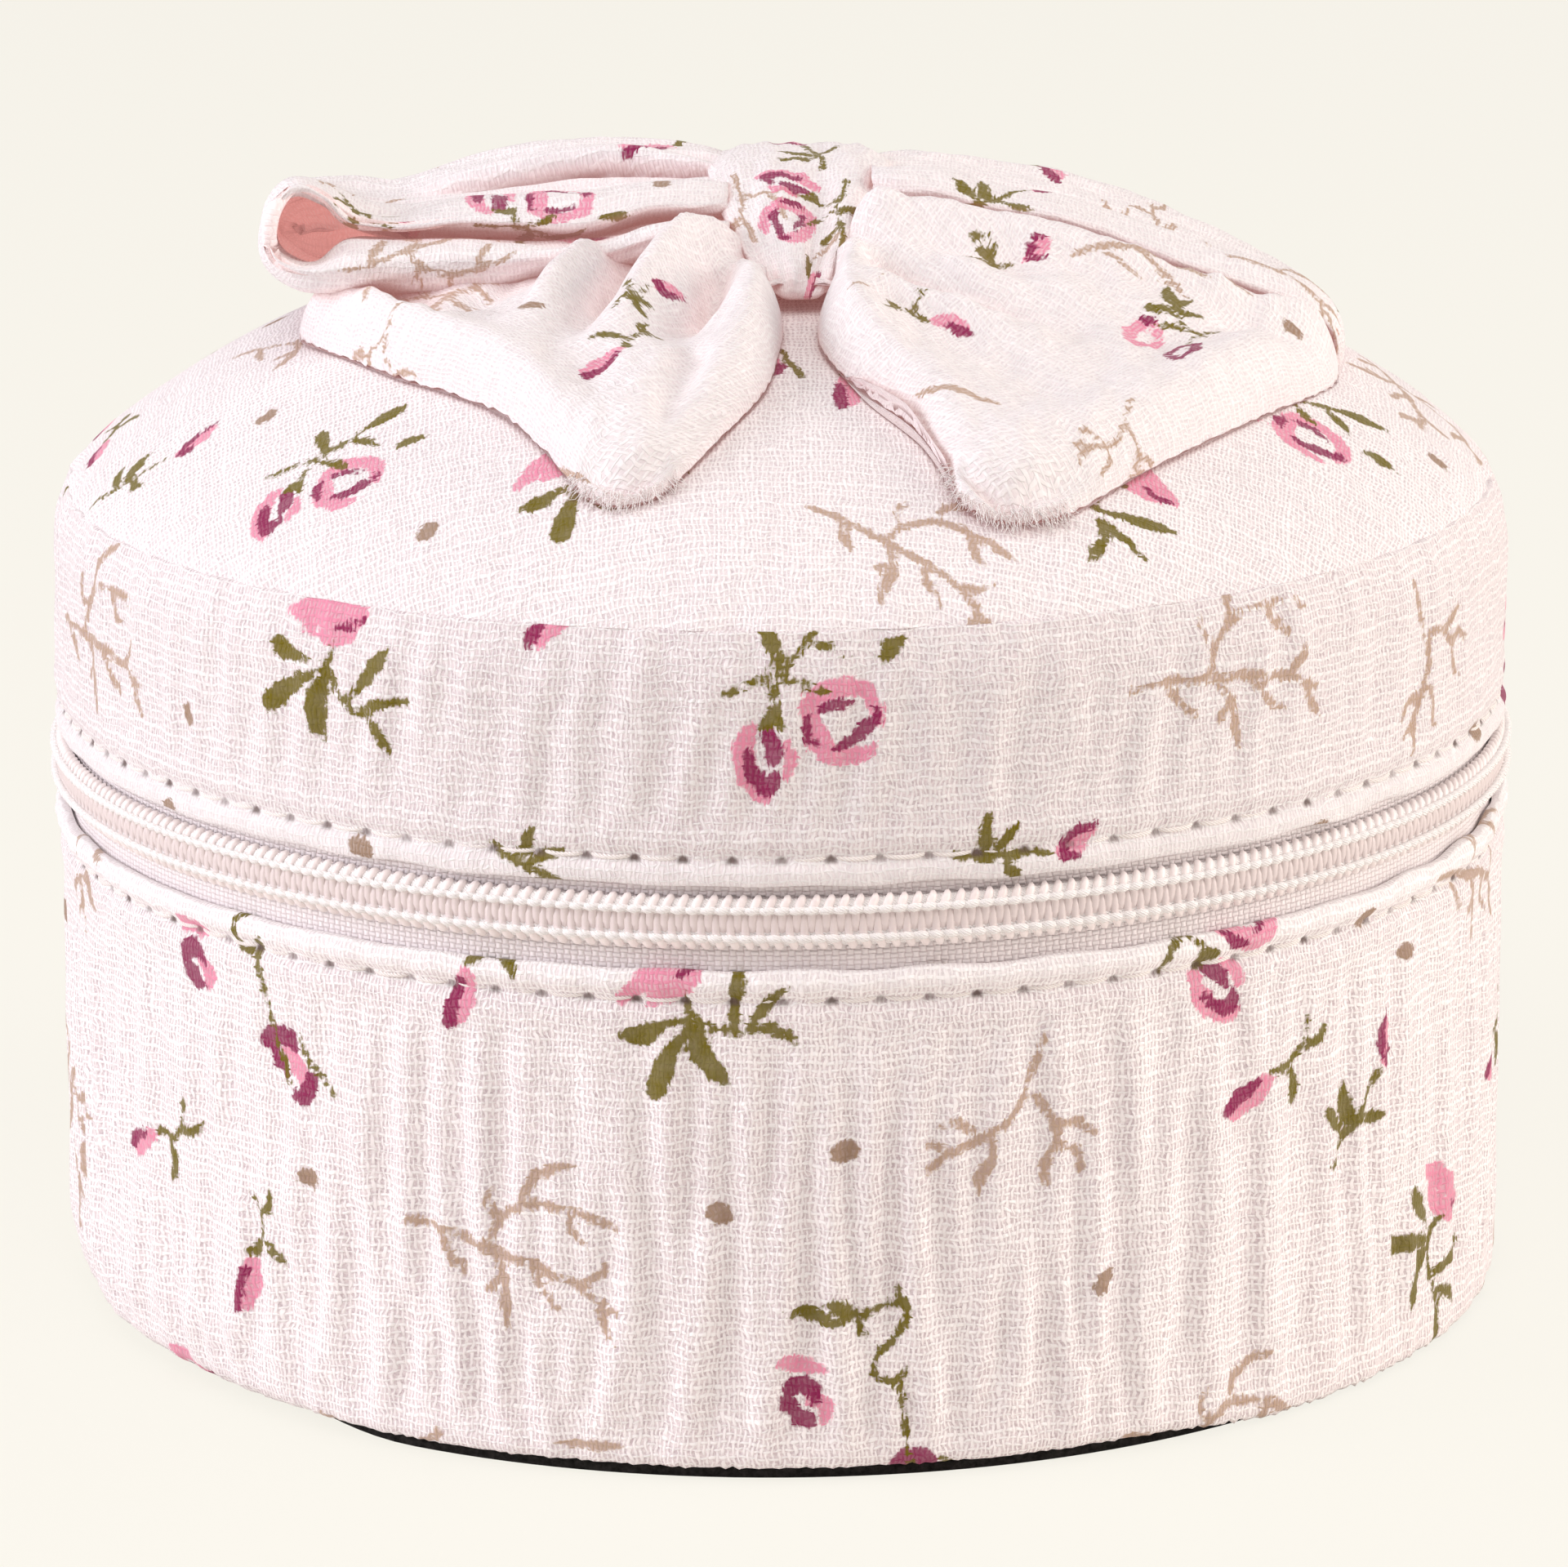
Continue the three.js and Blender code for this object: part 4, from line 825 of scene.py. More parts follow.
rightLoopNet = [
    [(7.8, -4, 91), (7.7, -8, 92), (7.7, -9.5, 93), (7.7, -6.5, 93.8), (7.8, -2, 93.2), (7.8, 1.5, 93),
     (7.9, 4, 92.9), (7.9, 8, 91.6), (7.9, 10, 89.9)],
    [(9.8, -4, 90.2), (9.7, -9, 91.6), (9.7, -10.4, 93), (9.7, -6.7, 94), (9.8, -1.5, 92.6), (9.9, 2, 92.9),
     (9.9, 5, 93.1), (10, 9, 91.6), (10, 11, 89.7)],
    [(13.4, -3, 89.2), (13.3, -9, 91), (13.3, -10.4, 92.5), (13.4, -6.4, 93.6), (13.5, -1, 91.9), (13.6, 3, 92.6),
     (13.7, 6, 92.8), (13.8, 11, 91.3), (13.8, 13, 89.2)],
    [(17.8, -3, 88), (17.6, -9, 89.8), (17.6, -10.4, 91.3), (17.7, -6.4, 92.4), (17.9, -0.5, 90.5), (18, 3.5, 91.5),
     (18.1, 7, 91.9), (18.2, 12, 90.6), (18.3, 14.5, 88.2)],
    [(22.8, -3, 87), (22.6, -8.5, 88.8), (22.5, -10.4, 90.5), (22.7, -5.9, 91.4), (22.9, 0, 89.4), (23, 4, 90.4),
     (23.2, 8, 90.9), (23.4, 13, 89.7), (23.5, 15.5, 87.1)],
    [(28.1, -3, 84.8), (27.9, -8.5, 86.9), (27.8, -10.4, 88.6), (28, -5.9, 89.6), (28.3, 0, 88), (28.5, 4.5, 88.7),
     (28.7, 8.5, 89.1), (28.9, 13.5, 87.8), (29, 16, 85.3)],
    [(33.5, -3, 82.7), (33.3, -9.3, 84.8), (33.1, -11.2, 86.6), (33.4, -5.9, 87.7), (33.6, 0, 86.1), (33.9, 5, 86.5),
     (34.1, 9, 86.8), (34.4, 14, 85.4), (34.5, 16, 83)],
    [(38.9, -3, 81), (38.6, -9.3, 83.2), (38.5, -11.2, 85), (38.7, -5.9, 86.1), (39, 0, 84.6), (39.3, 5, 84.2),
     (39.6, 9, 84.2), (39.9, 13.5, 82.8), (40, 15.5, 80.6)],
    [(42.9, -3, 79.3), (42.8, -8.8, 81.2), (42.9, -10.7, 83), (43.1, -5.9, 84.1), (43.4, 0, 83), (43.6, 5, 82.3),
     (43.5, 8.5, 81.9), (43.7, 12.5, 80.6), (43.6, 14.5, 78.6)],
    [(44.4, -3, 78), (44.9, -7.8, 79.3), (45.4, -9.8, 80.4), (45.8, -5.5, 80.9), (46.1, 0, 80), (46.3, 5, 79.2),
     (46.3, 8, 78.6), (46, 11.5, 77.7), (45.6, 13.5, 76.4)],
    [(43.5, -3, 77), (44.1, -7, 77.5), (45.1, -8.5, 77.6), (45.7, -5.5, 77.1), (46, 0, 76.6), (46.2, 5, 76.2),
     (46, 8, 76.1), (45.7, 11.5, 75.7), (45.2, 13.5, 75.3)],
    [(40.3, -3, 77.7), (40, -7, 78.1), (40.3, -8.5, 77.3), (40.5, -5, 76.3), (40.9, 0, 76), (41.2, 5, 75.7),
     (41.2, 9, 75.7), (41.1, 12.5, 75.8), (41, 14.5, 76.3)],
    [(34.9, -3, 79.8), (34.6, -7, 80.3), (34.5, -9, 79.6), (34.8, -5, 78.4), (35.1, 0, 78.1), (35.3, 5, 77.9),
     (35.6, 9, 78), (35.8, 13, 78.2), (35.9, 15, 78.6)],
    [(28.8, -3, 82.1), (28.6, -7, 82.7), (28.6, -9, 82), (28.7, -5, 80.8), (29, 0, 80.5), (29.2, 5, 80.3),
     (29.4, 9, 80.5), (29.6, 13, 80.9), (29.7, 15, 81.3)],
    [(22.8, -3, 84.6), (22.6, -8, 85.3), (22.5, -10, 84.6), (22.7, -5, 83.3), (22.9, 0, 83.1), (23.1, 4.5, 83.1),
     (23.2, 8.5, 83.3), (23.4, 12, 83.7), (23.4, 14, 84.1)],
    [(17.4, -3, 86.3), (17.3, -9, 87.2), (17.2, -11, 86.5), (17.4, -6, 85.3), (17.5, -1, 85.1), (17.6, 4, 85.1),
     (17.8, 8, 85.4), (17.9, 11.5, 85.8), (17.9, 13, 86.2)],
    [(12.8, -4, 87.7), (12.6, -9, 88.5), (12.6, -11, 88), (12.7, -7, 87), (12.8, -2, 86.7), (12.9, 3, 86.6),
     (13, 7, 86.7), (13, 10, 87.1), (13.1, 11.5, 87.5)],
    [(9.7, -5, 88.8), (9.7, -9, 89.5), (9.6, -11, 89.1), (9.7, -8, 88), (9.8, -3, 87.6), (9.9, 2, 87.3),
     (9.9, 6, 87.4), (10, 9, 87.8), (10, 10, 88.2)],
    [(7.7, -5, 89.3), (7.7, -8, 89.9), (7.7, -10, 89.6), (7.7, -7.5, 88.6), (7.8, -3, 88.1), (7.8, 1, 87.9),
     (7.9, 5, 87.9), (7.9, 7, 88.4), (7.9, 8, 88.7)],
]
bowLook = {
    "loopThick": 0.6, "loopCrinkle": 0.13, "tailThick": 3.3, "tailSeat": 0.12, "tailRoll": 2.5, "tailMid": 0.32,
    "knotThick": 1.0, "spacing": 0.46,
}


def splineWeights(place, count):
    # shares of the net's lines that make a smooth curve through them at each place from 0 to count - 1
    cell = np.clip(np.floor(place).astype(int), 0, count - 2)
    t = place - cell
    shares = [-t + 2 * t ** 2 - t ** 3, 2 - 5 * t ** 2 + 3 * t ** 3, t + 4 * t ** 2 - 3 * t ** 3, -t ** 2 + t ** 3]
    weights = np.zeros((len(place), count))
    row = np.arange(len(place))
    for k, part in zip((-1, 0, 1, 2), shares):
        at = cell + k
        low, high = at < 0, at > count - 1
        inside = ~low & ~high
        np.add.at(weights, (row[inside], at[inside]), part[inside] / 2)
        for over, end, nextIn in ((low, 0, 1), (high, count - 1, count - 2)):
            np.add.at(weights, (row[over], np.full(over.sum(), end)), part[over])
            np.add.at(weights, (row[over], np.full(over.sum(), nextIn)), -part[over] / 2)
    return weights


def clothNormals(bent, columns, rows):
    grid = bent.reshape(rows + 1, columns + 1, 3)
    normal = np.cross(np.gradient(grid, axis=1), np.gradient(grid, axis=0))
    normal /= np.maximum(np.linalg.norm(normal, axis=2, keepdims=True), 1e-9)
    return normal.reshape(-1, 3)


def curveAt(points, t):
    # points of a smooth curve at even shares t of its length
    line = softened(points, 8)
    run = runAlong(line)
    return np.stack([np.interp(t * run[-1], run, line[:, k]) for k in range(line.shape[1])], 1)


def nearLine(x, y, line):
    # distance to a line and the share of the way along it, for each point
    away, share = np.full(len(x), 1e3), np.zeros(len(x))
    for k, (a, b) in enumerate(zip(line[:-1], line[1:])):
        run = b[:2] - a[:2]
        t = np.clip(((x - a[0]) * run[0] + (y - a[1]) * run[1]) / max(run @ run, 1e-9), 0, 1)
        gap = np.hypot(x - a[0] - t * run[0], y - a[1] - t * run[1])
        share = np.where(gap < away, (k + t) / (len(line) - 1), share)
        away = np.minimum(gap, away)
    return away, share


def addFolds(x, y, folds, lift):
    # each fold is a smooth line of (x, y, height, width) in mm
    for fold in folds:
        line = softened(fold, 4)
        gap, share = nearLine(x, y, line)
        high, wide = (np.interp(share, np.linspace(0, 1, len(line)), line[:, k]) for k in (2, 3))
        lift = lift + high * np.exp(-(gap / wide) ** 2)
    return lift


def bandLoop(name, net, placed, flip, seed, creases):
    net = np.array(net, float)
    stations, lines = net.shape[:2]
    reach = np.concatenate([[0], np.cumsum(np.linalg.norm(np.diff(net, axis=0), axis=2).mean(1))])
    width = np.concatenate([[0], np.cumsum(np.linalg.norm(np.diff(net, axis=1), axis=2).mean(0))])
    columns, rows = round(reach[-1] / bowLook["spacing"]), round(width[-1] / bowLook["spacing"])

    def shape(u, v):
        if flip:
            v = 1 - v
        along = np.interp(u * reach[-1], reach, np.arange(stations))
        across = np.interp(v * width[-1], width, np.arange(lines))
        bent = np.einsum("ps,pc,sck->pk", splineWeights(along, stations), splineWeights(across, lines), net)
        flat = np.stack([u * reach[-1], v * width[-1] - width[-1] / 2], 1)
        out, over = flat.T
        crinkle = waves(over, out, 4.2, 5, 8, seed) + 0.6 * waves(over, out, 2.2, 4, 6, seed + 1)
        lift = addFolds(out, over, creases, bowLook["loopCrinkle"] * crinkle)
        bent = bent + lift[:, None] * clothNormals(bent, columns, rows)
        return bent, flat

    mesh = gauzeMesh(name, columns, rows, shape, placed)
    loop = keepPiece(name, mesh, bowGauze, "lid", ["bow_loops"])
    wall = loop.modifiers.new("layers", "SOLIDIFY")
    wall.thickness = bowLook["loopThick"] * mm
    wall.offset = -1
    # the inner side of each loop takes the cloth with the painted glow
    loop.data.materials.append(paintedGlowGauze)
    wall.material_offset = 1


leftLoopPrint = [
    ("forkTwig", 33, 2, 60, 0.9), ("roseSprig", 17, -9, 170, 0.8), ("budSprig", 9, 9, 80, 1), ("dash", 22, 12, 20, 1),
    ("leafSprig", 31, -9, 200, 0.9), ("twig", 57, -12, 10, 0.75), ("budSprig", 70, -13, 150, 0.9),
    ("twig", 66, 8, 20, 1), ("dot", 6, -7, 0, 0.7),
]
rightLoopPrint = [
    ("leafSprig", 11, -7, 20, 0.9), ("budSprig", 17, 9, 60, 0.9), ("twig", 26, 1, 150, 0.7),
    ("forkTwig", 36, -5, 100, 0.8), ("hangingBuds", 62, 0, 90, 0.9), ("dot", 45, -8, 0, 1), ("budSprig", 80, 4, 10, 1),
    ("budSprig", 42, 6, 200, 0.8),
]
leftCreases = [
    [(27, 5.8, -0.3, 1.4), (22, 5.4, -1.4, 0.9), (14, 5.5, -2.4, 0.75), (9, 4.8, -2.6, 0.7), (4, 4, -2, 0.65),
     (1.5, 3.8, -1, 0.7)],
    [(15, -5.6, 0, 1.2), (8, -4.4, -1.2, 0.8), (2, -4.6, -1.4, 0.7)],
    [(34, -8, 0, 1.2), (29, -6.6, -0.7, 1.2), (24, -5.6, 0, 1.4)],
    [(25, 7.4, 0.2, 1.6), (14, 7.7, 0.9, 1.3), (9, 7, 1, 1.2), (3, 6, 0.6, 1.1)],
]
rightCreases = [
    [(1.5, -1.4, -0.8, 0.8), (8, -1.8, -1.1, 1), (15, -1.6, -0.5, 1.4), (22, -1, 0, 1.6)],
]
bandLoop("bow_loop_left", leftLoopNet, leftLoopPrint, True, 71, leftCreases)
bandLoop("bow_loop_right", rightLoopNet, rightLoopPrint, False, 75, rightCreases)


def bandTail(name, look, placed, seed):
    # a flattened tube of cloth between two edges on the padded top
    inner, outer, root, tip = look["inner"], look["outer"], look["root"], look["tip"]
    corner = [np.array(p[0], float) for p in (inner, outer)] + [np.array(p[-1], float) for p in (inner, outer)]
    reach = np.linalg.norm(np.diff(curveAt(inner, np.linspace(0, 1, 30)), axis=0), axis=1).sum()
    width = np.linalg.norm(np.diff(curveAt(tip, np.linspace(0, 1, 30)), axis=0), axis=1).sum()
    columns, rows = round(reach * 1.15 / bowLook["spacing"]), 2 * round(width / bowLook["spacing"])

    def shape(u, v):
        top = v < 0.5
        s = np.where(top, v * 2, 2 - v * 2)
        s = (1 - np.cos(math.pi * s)) / 2
        along = np.sin(u * math.pi / 2)
        xy = (
            (1 - s)[:, None] * curveAt(inner, along) + s[:, None] * curveAt(outer, along)
            + (1 - along)[:, None] * curveAt(root, s) + along[:, None] * curveAt(tip, s)
            - ((1 - s) * (1 - along))[:, None] * corner[0] - (s * (1 - along))[:, None] * corner[1]
            - ((1 - s) * along)[:, None] * corner[2] - (s * along)[:, None] * corner[3]
        )
        x, y = xy.T
        edge = np.minimum(np.minimum(nearLine(x, y, softened(inner, 4))[0], nearLine(x, y, softened(outer, 4))[0]),
                          nearLine(x, y, softened(tip, 4))[0])
        roll = np.sqrt(np.clip(1 - (1 - np.clip(edge / bowLook["tailRoll"], 0, 1)) ** 2, 0, 1))
        lift = addFolds(x, y, look["folds"], np.zeros(len(x)))
        crinkle = 0.16 * waves(x, y, 6.5, 1.5, 7, seed) + 0.10 * waves(x, y, 2.8, 2, 7, seed + 1)
        puff = bowLook["tailThick"] - bowLook["tailMid"] + (lift + crinkle)
        ground = domeHeight(np.hypot(x, y)) + bowLook["tailSeat"]
        z = ground + bowLook["tailMid"] + np.where(top, puff, 0.05 - bowLook["tailMid"]) * roll
        bent = np.stack([x, y, z], 1)
        grid = bent.reshape(rows + 1, columns + 1, 3)
        across = np.cumsum(np.linalg.norm(np.diff(grid, axis=0, prepend=grid[:1]), axis=2), axis=0)
        forward = np.cumsum(np.linalg.norm(np.diff(grid, axis=1, prepend=grid[:, :1]), axis=2), axis=1)
        middle = rows // 4
        flat = np.stack([np.broadcast_to(forward[middle], across.shape), across - across[middle]], 2)
        return bent, flat.reshape(-1, 2)

    mesh = gauzeMesh(name, columns, rows, shape, placed, closed=True)
    tail = keepPiece(name, mesh, bowGauze, "lid", ["bow_tails"])


leftTail = {
    "root": [(-0.6, -20), (-1.6, -16), (-3, -12.4)],
    "inner": [(-0.6, -20), (0.4, -24.5), (0, -30), (-1, -36), (-3.9, -41.2), (-7.8, -46.8)],
    "outer": [(-3, -12.4), (-12, -13.4), (-20, -13.4), (-28, -10.8), (-34.5, -6.4), (-38.6, -3.4)],
    "tip": [(-7.8, -46.8), (-9.6, -48.2), (-12.4, -48.5), (-15.2, -46.6), (-18.2, -40.8), (-21.6, -35), (-26, -29.6),
            (-30.6, -24), (-35.2, -16), (-38.8, -8), (-38.6, -3.4)],
    "folds": [
        [(-4.4, -14, 2.8, 2), (-7.4, -17.4, 4.3, 1.9), (-10.2, -23, 3.5, 1.9), (-13, -28.6, 1.2, 2.2),
         (-15, -33, 0, 3)],
        [(-14.6, -14.6, 2.2, 2), (-16.8, -20, 3, 1.9), (-18.6, -24.4, 2.2, 1.9), (-20.6, -29.6, 0.6, 2.4)],
        [(-2.2, -20, 1.4, 2), (-1.8, -24, 2.2, 2), (-2.2, -31, 1.7, 2.2), (-4.4, -38.6, 1, 2.4)],
        [(-4.6, -20.4, -1.6, 1.1), (-5.6, -25, -2.8, 1.3), (-7.6, -30.6, -1, 2)],
        [(-11.6, -16.6, -1.8, 1.2), (-13.4, -22.6, -2.3, 1.3), (-15.8, -28.4, -0.8, 2)],
        [(-16.4, -42.6, 0.9, 2.4), (-23.4, -30.6, 1.7, 2.4), (-30.2, -21.4, 2.2, 2.6), (-36.2, -8.4, 1.7, 2.6)],
        [(-21.4, -17, -1, 2), (-26.6, -19.6, -1.2, 2.2), (-32.2, -12.4, -0.9, 1.8)],
        [(-24.6, -14, 0.9, 1.5), (-30.4, -10.4, 0.9, 1.5), (-35, -6.6, 0.8, 1.5)],
        [(-9.4, -36, 0.9, 2.6), (-11.4, -43.6, 1.2, 2.6)],
        [(-6.4, -36.6, -0.7, 1.4), (-8.6, -42.4, -0.6, 1.4)],
        [(-8.8, -46.9, -1, 0.5), (-10.2, -47.7, -2.4, 0.5), (-12.3, -47.9, -2.6, 0.5), (-14.8, -46.2, -1.2, 0.5)],
    ],
    "flat": (40, 58),
}
rightTail = {
    "root": [(4.4, -20), (5.6, -15.6), (7.4, -11.4)],
    "inner": [(4.4, -20), (3.2, -24.4), (3.6, -29.4), (6.2, -35.4), (10.4, -40.2), (13, -45.4)],
    "outer": [(7.4, -11.4), (15.4, -11.2), (24.8, -11), (32.6, -11), (39.4, -10.4), (45.8, -6.8)],
    "tip": [(13, -45.4), (14, -48.2), (17.4, -49.2), (22.4, -46.9), (27.7, -40.8), (34.5, -32.2), (40.6, -22.4),
            (44.8, -14), (45.8, -6.8)],
    "folds": [
        [(8.4, -13.6, 5.4, 3.2), (15.6, -13.8, 4.4, 3.2), (24.8, -14, 3.7, 3), (32.4, -13.8, 2.4, 2.8),
         (38.8, -13.2, 2.2, 2.6), (43.4, -10.4, 2.2, 2.6)],
        [(5.8, -19.6, 3, 2.2), (5.8, -23.6, 2.4, 2.2), (6.6, -30, 1.3, 2.6)],
        [(8.2, -20.6, -2.4, 1), (12, -23.4, -3, 1.2), (17.4, -25.4, -1.8, 1.8), (22.6, -25.6, -0.8, 2.6)],
        [(8.4, -25, 1.6, 1.5), (13.4, -27.4, 1.7, 1.8), (19.4, -29, 0.9, 2.4)],
        [(10.6, -18.4, 1.4, 1.8), (16.4, -20.6, 1.5, 2.2), (23, -21, 0.9, 2.6)],
        [(14.2, -47, -1.4, 0.5), (15.6, -48.1, -2.4, 0.5), (17.5, -48.6, -2.6, 0.5), (20.4, -47.3, -2, 0.5),
         (23.2, -45.3, -0.8, 0.6)],
        [(5.8, -28.6, 0.9, 2), (9, -33.8, 1.2, 2.4), (13.4, -39.6, 1, 2.6)],
        [(18.4, -44.2, 1.1, 2.6), (26.4, -38.4, 1, 2.6), (33.2, -29.4, 1.2, 2.6), (38.8, -20.4, 1.3, 2.6)],
        [(14, -33, -0.6, 2.4), (20.6, -36.6, -0.6, 2.4)],
        [(25, -19, 0.9, 2.6), (33, -19.6, 1, 2.8)],
        [(30, -24.6, -0.7, 2), (37, -17.4, -0.7, 1.8)],
    ],
    "flat": (42, 62),
}
bandTail("bow_tail_left", leftTail, [
    ("budSprig", 27, -9, 100, 0.8), ("twig", 24, 15, 0, 0.7), ("dash", 35, -20, 80, 1), ("forkTwig", 34, 9, 80, 0.7),
    ("leafSprig", 17, -3, 150, 0.7), ("dot", 24, 2, 0, 0.8), ("dash", 41, -4, 10, 0.8),
], 81)
bandTail("bow_tail_right", rightTail, [
    ("twig", 21, 18, 80, 0.75), ("ovalPair", 29, 6, 100, 0.85), ("dash", 26, -16, 60, 1), ("forkTwig", 36, -9, 40, 0.6),
    ("leafSprig", 12, 8, 30, 0.7), ("budSprig", 17, -6, 160, 0.7), ("dot", 33, 21, 0, 0.8), ("dash", 10, -12, 120, 0.8),
], 85)

# The knot is a ring of band pulled round the pinch; the path is (y, z, half width) from its foot over the top and back
knotPath = [
    (-13, 85.9, 2.1), (-17.8, 85.6, 2.2), (-20.1, 85.6, 2.3), (-20.6, 86.3, 2.6), (-19.1, 88.2, 3.5),
    (-15.6, 90.3, 4.9), (-11.6, 92.1, 6.2), (-7.4, 93.5, 7), (-3, 94.3, 7.4), (2.4, 94.3, 7.4), (7.4, 93.2, 7),
    (11.2, 90.8, 6.6), (13.2, 87.8, 6), (12.4, 85.75, 5.4), (5, 85.55, 4.6), (-6, 85.7, 3.4), (-13, 85.9, 2.1),
]
knotLine = softened(knotPath, 6)
knotRun = runAlong(knotLine[:, :2])
knotLook = {"middle": 1.8, "halfBand": 7.2, "widest": 7.4, "printStart": 26, "turnedIn": 1.4, "spacing": 0.42}
knotColumns, knotRows = round(knotRun[-1] / knotLook["spacing"]), 36


def knotShape(u, v):
    y, z, half = (np.interp(u * knotRun[-1], knotRun, knotLine[:, k]) for k in range(3))
    side = 1 - 2 * v
    flat = np.stack([knotLook["halfBand"] * side, u * knotRun[-1] - knotLook["printStart"]], 1)
    bent = np.stack([knotLook["middle"] + half * side, y, z], 1)
    normal = clothNormals(bent, knotColumns, knotRows)
    turnIn = np.abs(side) ** 5 * knotLook["turnedIn"]
    gathered = flat[:, 0] * (0.6 + 0.4 * half / knotLook["widest"])
    folds = 0.35 * waves(gathered, flat[:, 1], 4.6, 9, 5, 93) * (1 - side ** 4)
    folds = folds * (1 - 0.8 * step(z, 92.4, 94.2))
    fine = 0.10 * waves(flat[:, 0], flat[:, 1], 2.2, 4, 6, 94)
    live = step(z, 85.7, 87.5)
    return bent + ((folds + fine) * live - turnIn)[:, None] * normal, flat


knotPrint = [
    ("roseSprig", 0.8, -8, 250, 0.8), ("forkTwig", -4.6, -6, 10, 0.7), ("budSprig", 1.2, -16.5, 190, 0.8),
    ("leafSprig", 1, 3, 80, 0.8), ("dash", 3.6, -13, 60, 0.7),
]
knotMesh = gauzeMesh("bow_knot_band", knotColumns, knotRows, knotShape, knotPrint)
weld(knotMesh, 1e-7, turnFaces=False)
knot = keepPiece("bow_knot_band", knotMesh, bowGauze, "lid", ["bow_knot"])
wall = knot.modifiers.new("layers", "SOLIDIFY")
wall.thickness = bowLook["knotThick"] * mm
wall.offset = -1

# Finishes that need no unrolled cloth: their patterns run on Object coordinates, round the drum where it matters
print("zip, stitches and lining")
zipMiddle = 45.2


def roundDrum(tree, radius):
    # arc length round the drum and height, in mm
    place = add(tree, "TexCoord", out="Object")
    place = add(tree, "SeparateXYZ", {0: place}).node
    angle = add(tree, "Math", {0: place.outputs["Y"], 1: place.outputs["X"]}, operation="ARCTAN2")
    arc = add(tree, "Math", {0: angle, 1: radius}, operation="MULTIPLY")
    up = add(tree, "Math", {0: place.outputs["Z"], 1: 1 / mm}, operation="MULTIPLY")
    return add(tree, "CombineXYZ", {"X": arc, "Y": up})


# Woven polyester zip tape: smooth flat ribs in a basket weave, a faint silky shine, greyer in its gaps
tapeLook = {"yarn": "#FFF9F9", "gap": "#DCCCCD", "ribPitch": 0.56, "pickPitch": 0.42}
zipTape, tree = startMaterial("woven polyester zip tape")
flat = roundDrum(tree, 59.1)
pitch = (1 / tapeLook["ribPitch"], 1 / tapeLook["pickPitch"], 0)
cell = add(tree, "VectorMath", {0: flat, 1: pitch}, operation="MULTIPLY")
parts = add(tree, "SeparateXYZ", {0: cell}).node
covers = []
for axis in ("X", "Y"):
    turn = add(tree, "Math", {0: parts.outputs[axis], 1: math.pi}, operation="MULTIPLY")
    covers.append(add(tree, "Math", {0: turn}, operation="SINE"))
swing = add(tree, "Math", {0: covers[0], 1: covers[1]}, operation="MULTIPLY")
across = add(tree, "Math", {0: covers[0]}, operation="ABSOLUTE")
upright = add(tree, "Math", {0: covers[1]}, operation="ABSOLUTE")
over = add(tree, "MapRange", {0: swing, 1: -0.25, 2: 0.25})
height = add(tree, "Mix", {0: over, 2: upright, 3: across}, out=0, data_type="FLOAT")
shade = add(tree, "MapRange", {0: height, 1: 0.05, 2: 0.6})
slub = add(tree, "TexNoise", {"Vector": flat, "Scale": 1.4, "Detail": 2.0}, out=0)
shade = add(tree, "Math", {0: slub, 1: 0.3, 2: shade}, operation="MULTIPLY_ADD")
shade = add(tree, "MapRange", {0: shade, 1: 0.1, 2: 1.2})
colour = add(tree, "Mix", {0: shade, 6: tapeLook["gap"], 7: tapeLook["yarn"]}, out=2, data_type="RGBA")
bump = add(tree, "Bump", {"Strength": 0.8, "Distance": 0.15 * mm, "Height": height})
endMaterial(tree, {
    "Base Color": colour, "Roughness": 0.62, "Specular IOR Level": 0.35, "Sheen Weight": 0.1, "Normal": bump,
})

# Drawn nylon monofilament: milky, smooth and a little glossy, with soft cloudiness along the wire;
# a little glow stands for the light that passes through it
nylonCoil, tree = startMaterial("drawn nylon coil")
place = add(tree, "TexCoord", out="Object")
cloud = add(tree, "TexNoise", {"Vector": place, "Scale": 700.0, "Detail": 2.0}, out=0)
cloud = add(tree, "MapRange", {0: cloud, 1: 0.35, 2: 0.65})
colour = add(tree, "Mix", {0: cloud, 6: "#E9DEDC", 7: "#F3EAE8"}, out=2, data_type="RGBA")
# where the rows interlock less light comes through, so the middle of the chain looks greyer
core = add(tree, "SeparateXYZ", {0: place}, out="Z")
core = add(tree, "Math", {0: core, 1: zipMiddle * mm}, operation="SUBTRACT")
core = add(tree, "Math", {0: core}, operation="ABSOLUTE")
core = add(tree, "MapRange", {0: core, 1: 0.6 * mm, 2: 1.0 * mm, 3: 1.0, 4: 0.0})
colour = add(tree, "Mix", {0: core, 6: colour, 7: "#DACECC"}, out=2, data_type="RGBA")
bump = add(tree, "Bump", {"Strength": 0.1, "Distance": 0.05 * mm, "Height": cloud})
endMaterial(tree, {
    "Base Color": colour, "Roughness": 0.36, "IOR": 1.53, "Specular IOR Level": 0.5, "Normal": bump,
    "Emission Color": "#EADCD8", "Emission Strength": 0.09,
})


